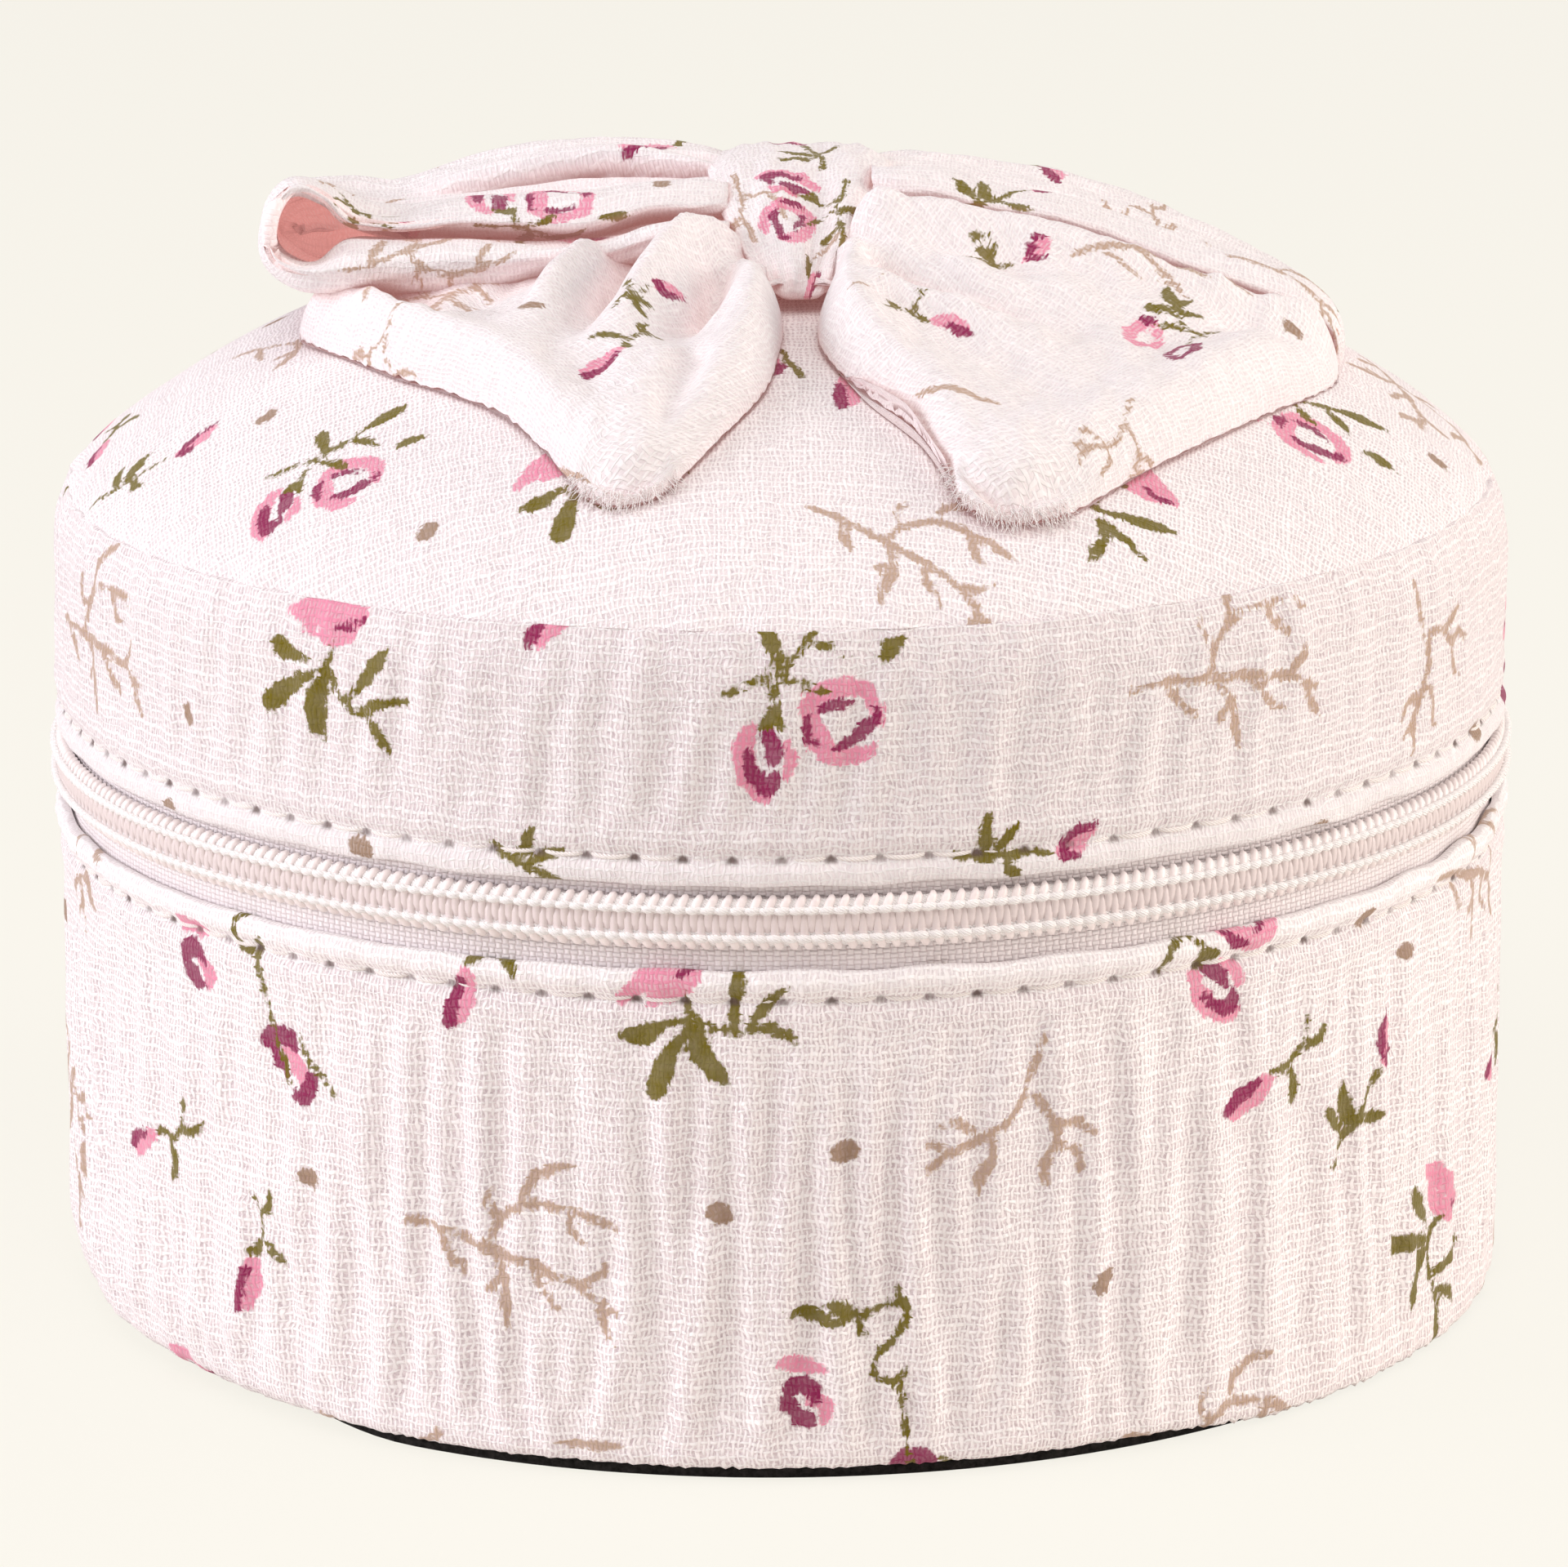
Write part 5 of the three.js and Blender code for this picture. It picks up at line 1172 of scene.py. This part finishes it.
def threadFinish(name, tint):
    # Spun polyester sewing thread: off-white, with the fine slanting ridges of its twist
    material, tree = startMaterial(name)
    flat = roundDrum(tree, drumRadius)
    slant = add(tree, "VectorMath", {0: flat, 1: (1.0, 1.7, 0)}, out="Value", operation="DOT_PRODUCT")
    ridge = add(tree, "Math", {0: slant, 1: 2 * math.pi / 0.34}, operation="MULTIPLY")
    ridge = add(tree, "Math", {0: ridge}, operation="SINE")
    fibre = add(tree, "TexNoise", {"Vector": flat, "Scale": 6.0, "Detail": 2.0}, out=0)
    height = add(tree, "Math", {0: fibre, 1: 0.8, 2: ridge}, operation="MULTIPLY_ADD")
    shade = add(tree, "MapRange", {0: height, 1: -0.9, 2: 0.8})
    colour = add(tree, "Mix", {0: shade, 6: tint[0], 7: tint[1]}, out=2, data_type="RGBA")
    bump = add(tree, "Bump", {"Strength": 0.5, "Distance": 0.08 * mm, "Height": height})
    endMaterial(tree, {
        "Base Color": colour, "Roughness": 0.7, "Specular IOR Level": 0.3, "Sheen Weight": 0.15, "Normal": bump,
    })
    return material


# Cotton velour: short dense pile that is deeper in colour face on and pale at its edges
velour, tree = startMaterial("blush cotton velour")
place = add(tree, "TexCoord", out="Object")
pile = add(tree, "TexNoise", {"Vector": place, "Scale": 1 / (0.5 * mm), "Detail": 3.0, "Roughness": 0.6}, out=0)
brushed = add(tree, "TexNoise", {"Vector": place, "Scale": 1 / (14 * mm), "Detail": 3.0}, out=0)
mix = add(tree, "Math", {0: pile, 1: 0.7, 2: brushed}, operation="MULTIPLY_ADD")
mix = add(tree, "MapRange", {0: mix, 1: 0.6, 2: 1.1})
colour = add(tree, "Mix", {0: mix, 6: "#D9B8B6", 7: "#F0DAD7"}, out=2, data_type="RGBA")
bump = add(tree, "Bump", {"Strength": 0.45, "Distance": 0.25 * mm, "Height": pile})
endMaterial(tree, {
    "Base Color": colour, "Roughness": 0.95, "Specular IOR Level": 0.1, "Sheen Weight": 0.6,
    "Sheen Roughness": 0.4, "Normal": bump,
})

# Pressed black felt underlay: matt and fibrous
felt, tree = startMaterial("pressed black felt")
place = add(tree, "TexCoord", out="Object")
fibre = add(tree, "TexNoise", {"Vector": place, "Scale": 1 / (0.6 * mm), "Detail": 4.0, "Roughness": 0.7}, out=0)
tone = add(tree, "MapRange", {0: fibre, 1: 0.35, 2: 0.7})
colour = add(tree, "Mix", {0: tone, 6: "#151413", 7: "#363433"}, out=2, data_type="RGBA")
bump = add(tree, "Bump", {"Strength": 0.5, "Distance": 0.2 * mm, "Height": fibre})
endMaterial(tree, {"Base Color": colour, "Roughness": 0.97, "Specular IOR Level": 0.1, "Normal": bump})

# Grey bookbinder's board: flat, matt, with short fibres and flecks of other paper
greyBoard, tree = startMaterial("grey binder's board")
place = add(tree, "TexCoord", out="Object")
fleck = add(tree, "TexVoronoi", {"Vector": place, "Scale": 1 / (1.2 * mm)}, out="Distance")
fleck = add(tree, "MapRange", {0: fleck, 1: 0.05, 2: 0.25})
fibre = add(tree, "TexNoise", {"Vector": place, "Scale": 1 / (0.8 * mm), "Detail": 3.0}, out=0)
tone = add(tree, "Mix", {0: fibre, 6: "#8C8883", 7: "#A8A49E"}, out=2, data_type="RGBA")
colour = add(tree, "Mix", {0: fleck, 6: "#77736D", 7: tone}, out=2, data_type="RGBA")
bump = add(tree, "Bump", {"Strength": 0.25, "Distance": 0.08 * mm, "Height": fibre})
endMaterial(tree, {"Base Color": colour, "Roughness": 0.9, "Specular IOR Level": 0.2, "Normal": bump})

# Open-cell polyurethane foam: cream, with pores of about half a millimetre
foam, tree = startMaterial("open-cell foam")
place = add(tree, "TexCoord", out="Object")
pore = add(tree, "TexVoronoi", {"Vector": place, "Scale": 1 / (0.8 * mm)}, out="Distance")
pore = add(tree, "MapRange", {0: pore, 1: 0.15, 2: 0.55, 3: 1.0, 4: 0.0})
colour = add(tree, "Mix", {0: pore, 6: "#F1E9D6", 7: "#C9BDA2"}, out=2, data_type="RGBA")
depth = add(tree, "Math", {0: pore, 1: -1.0}, operation="MULTIPLY")
bump = add(tree, "Bump", {"Strength": 0.6, "Distance": 0.3 * mm, "Height": depth})
endMaterial(tree, {"Base Color": colour, "Roughness": 0.9, "Specular IOR Level": 0.2, "Normal": bump})

# Silvered float glass: sharp reflections, with the faintest haze of polishing
mirror, tree = startMaterial("silvered mirror glass")
place = add(tree, "TexCoord", out="Object")
haze = add(tree, "TexNoise", {"Vector": place, "Scale": 1 / (9 * mm), "Detail": 4.0}, out=0)
rough = add(tree, "MapRange", {0: haze, 1: 0.3, 2: 0.7, 3: 0.015, 4: 0.05})
endMaterial(tree, {"Base Color": "#EEF1F0", "Metallic": 1.0, "Roughness": rough})

# Baked enamel on die-cast zinc: smooth and glossy, with slight orange peel, a little greyer where it is rubbed
enamel, tree = startMaterial("blush baked enamel")
place = add(tree, "TexCoord", out="Object")
peel = add(tree, "TexNoise", {"Vector": place, "Scale": 1 / (0.9 * mm), "Detail": 2.0}, out=0)
rubbed = add(tree, "TexNoise", {"Vector": place, "Scale": 1 / (3.5 * mm), "Detail": 4.0, "Roughness": 0.7}, out=0)
rubbed = add(tree, "MapRange", {0: rubbed, 1: 0.55, 2: 0.75})
colour = add(tree, "Mix", {0: rubbed, 6: "#EFDCDC", 7: "#DCC6C6"}, out=2, data_type="RGBA")
rough = add(tree, "MapRange", {0: rubbed, 3: 0.22, 4: 0.38})
bump = add(tree, "Bump", {"Strength": 0.08, "Distance": 0.05 * mm, "Height": peel})
endMaterial(tree, {
    "Base Color": colour, "Roughness": rough, "Coat Weight": 0.4, "Coat Roughness": 0.12, "Normal": bump,
})

hemThread = threadFinish("off-white sewing thread", ("#F0E4DE", "#FFFCF9"))
looseThread = threadFinish("loose cotton thread ends", ("#F7EDEC", "#FFFEFD"))
coilThread = threadFinish("white chain-stitch thread", ("#FAF4F2", "#FFFEFD"))


def spunProfile(profile, fromAngle, toAngle, steps):
    # turns a closed outline of (radius, height) in mm round the drum's axis; a part turn gets its two ends closed
    full = toAngle - fromAngle == 360
    bm = bmesh.new()
    start = math.radians(fromAngle)
    verts = [bm.verts.new((r * mm * math.cos(start), r * mm * math.sin(start), z * mm)) for r, z in profile]
    edges = [bm.edges.new((verts[i - 1], verts[i])) for i in range(len(verts))]
    bmesh.ops.spin(bm, geom=verts + edges, axis=(0, 0, 1), cent=(0, 0, 0), angle=math.radians(toAngle - fromAngle),
                   steps=steps, use_merge=full, use_duplicate=False)
    if not full:
        bmesh.ops.holes_fill(bm, edges=[edge for edge in bm.edges if edge.is_boundary], sides=0)
    bmesh.ops.recalc_face_normals(bm, faces=bm.faces)
    return bm


def softBox(r0, r1, z0, z1, rounding=0.15):
    corners = [(r0, z0), (r1, z0), (r1, z1), (r0, z1)]
    return roundedLoop([(r, z, rounding, 0, 0) for r, z in corners])[:-1, :2]


def raiseSlab(bm, low, high):
    # a flat face at height 0 becomes a slab from low to high
    bmesh.ops.translate(bm, vec=(0, 0, low * mm), verts=bm.verts)
    raised = bmesh.ops.extrude_face_region(bm, geom=bm.faces[:])["geom"]
    raised = [part for part in raised if isinstance(part, bmesh.types.BMVert)]
    bmesh.ops.translate(bm, vec=(0, 0, (high - low) * mm), verts=raised)
    bmesh.ops.recalc_face_normals(bm, faces=bm.faces)


def disc(radius, low, high, rounding, steps):
    # a plate with rounded edges, closed at its middle
    box = softBox(0.001, radius, low, high, rounding)
    bm = spunProfile(np.vstack([[[0.001, low]], box[box[:, 0] > radius / 2], [[0.001, high]]]), 0, 360, steps)
    bmesh.ops.remove_doubles(bm, verts=bm.verts, dist=0.01 * mm)
    bmesh.ops.delete(bm, geom=[edge for edge in bm.edges if edge.is_wire], context="EDGES")
    bmesh.ops.recalc_face_normals(bm, faces=bm.faces)
    return bm


def wireMesh(points, radius, roundness=1):
    # a wire through points (x, y, z, share of the radius) in mm, with closed ends
    curve = bpy.data.curves.new("wire", "CURVE")
    curve.dimensions = "3D"
    spline = curve.splines.new("POLY")
    spline.points.add(len(points) - 1)
    for point, (x, y, z, share) in zip(spline.points, points):
        point.co = (x * mm, y * mm, z * mm, 1)
        point.radius = share
    curve.bevel_depth = radius * mm
    curve.bevel_resolution = roundness
    curve.use_fill_caps = True
    holder = bpy.data.objects.new("wire", curve)
    scene.collection.objects.link(holder)
    mesh = bpy.data.meshes.new_from_object(holder.evaluated_get(bpy.context.evaluated_depsgraph_get()))
    bpy.data.objects.remove(holder)
    bpy.data.curves.remove(curve)
    return mesh


def stampedRound(template, fromAngle, toAngle, count):
    # copies of a small mesh round the drum's axis; the template stands at angle 0
    bm = bmesh.new()
    turn = math.radians((toAngle - fromAngle) / count)
    template.transform(Matrix.Rotation(math.radians(fromAngle) + turn / 2, 4, "Z"))
    for _ in range(count):
        bm.from_mesh(template)
        template.transform(Matrix.Rotation(turn, 4, "Z"))
    bpy.data.meshes.remove(template)
    bmesh.ops.recalc_face_normals(bm, faces=bm.faces)
    return bm


zipLook = {
    "from": 128.0, "to": 412.0, "tapeIn": 58.7, "tapeOut": 59.1, "parting": 0.55, "hidden": 8.0, "pitch": 1.12,
    "wire": 0.285, "flattened": 0.62, "stitchThread": 0.21, "endMargin": 3.2,
}
zipMargin = math.degrees(zipLook["endMargin"] / 59.4)
coilFrom, coilTo = zipLook["from"] + zipMargin, zipLook["to"] - zipMargin
loopCount = round(math.radians(coilTo - coilFrom) * drumRadius / zipLook["pitch"])
for side, body, hem in ((-1, "base", 41.6), (1, "lid", 48.3)):
    row = "lower" if side < 0 else "upper"
    edges = sorted((zipMiddle + side * zipLook["parting"], hem + side * zipLook["hidden"]))
    tape = spunProfile(softBox(zipLook["tapeIn"], zipLook["tapeOut"], *edges), zipLook["from"], zipLook["to"], 300)
    tape = makePiece("woven_tape_" + row, tape, zipTape, body, ["zip_tape_" + row])
    # each loop of the coil runs up from behind its stitches, over the middle and into the other row
    path = [(59.2, 0.46, 1.92, 0.9), (59.7, 0.40, 1.84, 1.2), (60.0, 0.26, 1.60, 1.3), (60.1, 0.08, 1.15, 1.3),
            (60.12, 0.0, 0.75, 1.2), (60.12, 0.0, 0.35, 1.3), (60.1, 0.0, -0.1, 1.3), (59.95, 0.0, -0.5, 1.2),
            (59.4, 0.0, -0.72, 0.8)]
    shift = 0 if side < 0 else zipLook["pitch"] / 2
    loop = wireMesh([(r, s + shift, zipMiddle + side * z, share) for r, s, z, share in path], zipLook["wire"])
    toDrum = Matrix.Translation((drumRadius * mm, 0, 0))
    loop.transform(toDrum @ Matrix.Scale(zipLook["flattened"], 4, (1, 0, 0)) @ toDrum.inverted())
    coil = stampedRound(loop, coilFrom, coilTo, loopCount)
    makePiece("coil_loops_" + row, coil, nylonCoil, body, ["zip_coil_" + row])
    turns = [math.pi * k / 5 for k in range(10)]
    cord = [(59.62 + 0.5 * math.cos(t), zipMiddle + side * 0.95 + 0.93 * math.sin(t)) for t in turns]
    cord = spunProfile(cord, coilFrom, coilTo, 300)
    makePiece("coil_filler_cord_" + row, cord, coilThread, body, ["zip_coil_" + row])
    path = [(60.2, -0.66, 1.05, 0.9), (60.36, -0.44, 1.07, 1.25), (60.46, -0.08, 1.1, 1.7), (60.38, 0.3, 1.13, 1.35),
            (60.22, 0.6, 1.15, 0.9)]
    path = [(r, s + shift, zipMiddle + side * z, share) for r, s, z, share in path]
    chain = stampedRound(wireMesh(path, zipLook["stitchThread"]), coilFrom, coilTo, loopCount)
    makePiece("coil_chain_stitch_" + row, chain, coilThread, body, ["zip_coil_" + row])

# The tails end in cut edges of the gauze: short thread ends have come loose along them
fringeLook = {"thread": 0.05, "spacing": 0.2, "reach": (0.5, 1.5), "inset": 0.45}
chance = random.Random(97)
for name, tip, span, out in (
    ("bow_fringe_left", leftTail["tip"], (0.0, 0.17), 1),
    ("bow_fringe_right", rightTail["tip"], (0.0, 0.2), -1),
):
    steps = round(runAlong(np.array(tip, float))[-1] * (span[1] - span[0]) / fringeLook["spacing"])
    edge = curveAt(tip, np.linspace(*span, steps))
    tangents = np.gradient(edge, axis=0)
    bm = bmesh.new()
    for place, tangent in zip(edge, tangents / np.linalg.norm(tangents, axis=1, keepdims=True)):
        for _ in range(3):
            away = out * np.array([-tangent[1], tangent[0]]) + chance.uniform(-0.7, 0.7) * tangent
            reach = chance.uniform(*fringeLook["reach"])
            low = chance.uniform(0.5, 1.5)
            start = place - fringeLook["inset"] * away
            points = []
            for t in (0, 0.35, 0.7, 1):
                at = start + away * reach * t + tangent * chance.uniform(-0.15, 0.15)
                rise = low + chance.uniform(-0.1, 0.2) - 0.5 * t * t * chance.uniform(0.2, 1.2)
                points.append((at[0], at[1], domeHeight(np.hypot(*at)) + max(rise, 0.15), 1 - 0.5 * t))
            thread = wireMesh(points, fringeLook["thread"], 0)
            bm.from_mesh(thread)
            bpy.data.meshes.remove(thread)
    bmesh.ops.recalc_face_normals(bm, faces=bm.faces)
    makePiece(name, bm, looseThread, "lid", ["bow_tails"])

# Hem stitches: the thread lies on the cloth between two needle holes and dives into them
hemStitch = [
    (58.9, -1.72, 0.16, 0.8), (59.3, -1.56, 0.12, 1.0), (59.56, -1.2, 0.02, 1.0), (59.72, -0.6, -0.05, 1.05),
    (59.76, 0.1, -0.05, 1.05), (59.72, 0.8, 0.0, 1.05), (59.56, 1.3, 0.06, 1.0), (59.25, 1.58, 0.1, 1.0),
    (58.9, 1.7, 0.12, 0.8),
]
hemThreadRadius = 0.18
for name, height, body, node in (
    ("base_hem_stitches", wallLook["stitchHeight"], "base", "base_hem_stitching"),
    ("lid_hem_stitches", bandLook["stitchHeight"], "lid", "lid_hem_stitching"),
):
    stitch = wireMesh([(r, s, height + z, share) for r, s, z, share in hemStitch], hemThreadRadius, 2)
    bm = stampedRound(stitch, -90, 270, stitchCount)
    makePiece(name, bm, hemThread, body, [node])

# The hinge is one strip of tape sewn to both hems, across the gap
hingeLook = {"in": 58.7, "out": 59.1, "low": 33.6, "high": 56.3, "from": 52.3, "to": 127.7}
hingeEdge = roundedLoop([
    (hingeLook["in"], hingeLook["low"], 0.1, 0.9, 0), (hingeLook["out"], hingeLook["low"], 0.1, 0.45, 0),
    (hingeLook["out"], hingeLook["high"], 0.1, 0, 0), (hingeLook["in"], hingeLook["high"], 0.1, 0.45, 0),
])
bm = spunProfile(hingeEdge[:-1, :2], hingeLook["from"], hingeLook["to"], 60)
hinge = makePiece("hinge_tape", bm, zipTape, None, ["hinge_strip_lower", "hinge_strip_upper"])
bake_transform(hinge)

# Felt under the case, cut a little small on its left
feltLook = {"radius": 58.4, "thick": 0.9, "edge": 0.3, "cutAway": 0.055}
bm = disc(feltLook["radius"], 0.0, feltLook["thick"], feltLook["edge"], 180)
for vert in bm.verts:
    turn = math.degrees(math.atan2(vert.co.y, vert.co.x)) % 360
    cut = step(turn, 150, 190) * (1 - step(turn, 222, 240))
    if math.hypot(vert.co.x, vert.co.y) > 50 * mm:
        vert.co.x *= 1 - feltLook["cutAway"] * cut
        vert.co.y *= 1 - feltLook["cutAway"] * cut
bmesh.ops.recalc_face_normals(bm, faces=bm.faces)
makePiece("felt_underlay", bm, felt, "base", ["base_disc"])

# Linings: velour glued to the boards inside, its edges turned in
liningLook = {"in": 56.0, "out": 56.5, "floor": 55.7}
for name, low, high, body, node, board in (
    ("base_wall_velour", 4.4, 40.8, "base", "base_wall_lining", "base_wall_board"),
    ("lid_wall_velour", 49.1, 65.1, "lid", "lid_wall_lining", "lid_wall_board"),
):
    bm = spunProfile(softBox(liningLook["in"], liningLook["out"], low, high, 0.2), 0, 360, 180)
    piece = makePiece(name, bm, velour, body, [node])
for name, low, high, body, node, under in (
    ("floor_velour", 6.3, 6.8, "base", "floor_lining", "floor_pad"),
    ("lid_top_velour", 64.6, 65.1, "lid", "lid_top_lining", "lid_top_board"),
):
    bm = bmesh.new()
    bmesh.ops.create_circle(bm, cap_ends=True, segments=180, radius=liningLook["floor"] * mm)
    raiseSlab(bm, low, high)
    piece = makePiece(name, bm, velour, body, [node], smooth=False)

# Dividers: card wrapped in velour, rounded along every edge
for name, low, high in (
    ("main_divider_velour", (-55.68, -1.2, 7.1), (55.68, 1.2, 36.1)),
    ("cross_divider_velour", (-1.2, 1.5, 7.1), (1.2, 55.68, 36.1)),
):
    low, high = np.array(low), np.array(high)
    bm = bmesh.new()
    bmesh.ops.create_cube(bm, size=1)
    bmesh.ops.scale(bm, vec=(high - low) * mm, verts=bm.verts)
    bmesh.ops.translate(bm, vec=(high + low) / 2 * mm, verts=bm.verts)
    bmesh.ops.bevel(bm, geom=bm.edges[:], offset=1.0 * mm, offset_type="OFFSET", segments=4, profile=0.5, material=-1,
                    affect="EDGES")
    makePiece(name, bm, velour, "base", [name.replace("_velour", "")])

# Bed of the ring rolls: a D-shaped block with soft edges
bedLook = {"radius": 55.6, "straight": -1.5, "low": 7.1, "high": 15.1, "edge": 0.8}
bm = bmesh.new()
bmesh.ops.create_circle(bm, cap_ends=True, segments=160, radius=bedLook["radius"] * mm)
bmesh.ops.bisect_plane(bm, geom=bm.verts[:] + bm.edges[:] + bm.faces[:], plane_co=(0, bedLook["straight"] * mm, 0),
                       plane_no=(0, 1, 0), clear_outer=True)
raiseSlab(bm, bedLook["low"], bedLook["high"])
rims = [edge for edge in bm.edges if edge.calc_face_angle(0) > 1.0]
bmesh.ops.bevel(bm, geom=rims, offset=bedLook["edge"] * mm, offset_type="OFFSET", segments=3, profile=0.5,
                material=-1, affect="EDGES")
makePiece("roll_bed_velour", bm, velour, "base", ["ring_roll_bed"])

# Ring rolls: wadding in a velour sleeve, pinched at both ends and never quite even
rollLook = {"radius": 5.85, "foot": 15.55, "columns": 120, "rows": 40, "unevenness": 0.10}
for index, (y, reach) in enumerate(((-7.8, 53.6), (-20.2, 48.6), (-32.6, 39.6), (-45.0, 22.2)), 1):
    mesh, u, v = gridMesh("ring_roll_velour_%d" % index, rollLook["columns"], rollLook["rows"])
    x = np.sin(math.pi * (u - 0.5)) * reach
    fromEnd = np.clip((reach - np.abs(x)) / rollLook["radius"], 0, 1)
    girth = rollLook["radius"] * np.sqrt(np.clip(1 - (1 - fromEnd) ** 2.4, 0, 1))
    angle = 2 * math.pi * v
    puff = rollLook["unevenness"] * waves(x, 7 * np.cos(angle), 17, 1.3, 5, 140 + index)
    puff = puff * (1 - step(np.abs(x), reach - 6, reach))
    pleat = 0.22 * np.cos(angle * 9) * (1 - fromEnd) * fromEnd * 3
    girth = girth - 0.12 + puff * fromEnd + pleat
    girth = np.where(fromEnd <= 0, 0, girth)
    middle = rollLook["foot"] + rollLook["radius"]
    flatFoot = np.maximum(middle + girth * np.sin(angle), rollLook["foot"] + 0.05)
    bent = np.stack([x, y + girth * np.cos(angle), flatFoot], 1)
    mesh.vertices.foreach_set("co", (bent * mm).ravel())
    weld(mesh, 0.004 * mm)
    roll = keepPiece(mesh.name, mesh, velour, "base", ["ring_roll_%d" % index])

# Mirror with its padded rim
mirrorLook = {"radius": 40.0, "face": 62.7, "back": 64.3, "edge": 0.4, "rimIn": 40.35, "rimOut": 43.25, "rimFace": 62.1}
bm = disc(mirrorLook["radius"], mirrorLook["face"], mirrorLook["back"], mirrorLook["edge"], 160)
makePiece("mirror_plate", bm, mirror, "lid", ["lid_mirror"], smooth=False)
rimEdge = roundedLoop([
    (mirrorLook["rimIn"], mirrorLook["rimFace"], 1.0, 0, 0), (mirrorLook["rimOut"], mirrorLook["rimFace"], 1.0, 0, 0),
    (mirrorLook["rimOut"], mirrorLook["back"], 0.3, 0, 0), (mirrorLook["rimIn"], mirrorLook["back"], 0.3, 0, 0),
])
bm = spunProfile(rimEdge[:-1, :2], 0, 360, 160)
makePiece("mirror_rim_velour", bm, velour, "lid", ["mirror_rim"])

# CAD nodes that keep their own shape get their real finish
for names, finish in (
    (("base_floor_board", "base_wall_board", "lid_wall_board", "lid_top_board"), greyBoard),
    (("floor_pad", "lid_foam_pad"), foam),
    (("zip_top_stop_lower", "zip_top_stop_upper", "zip_bottom_stop", "zip_slider", "zip_pull_tab"), enamel),
):
    for name in names:
        for slot in bpy.data.objects[name].material_slots:
            slot.material = finish
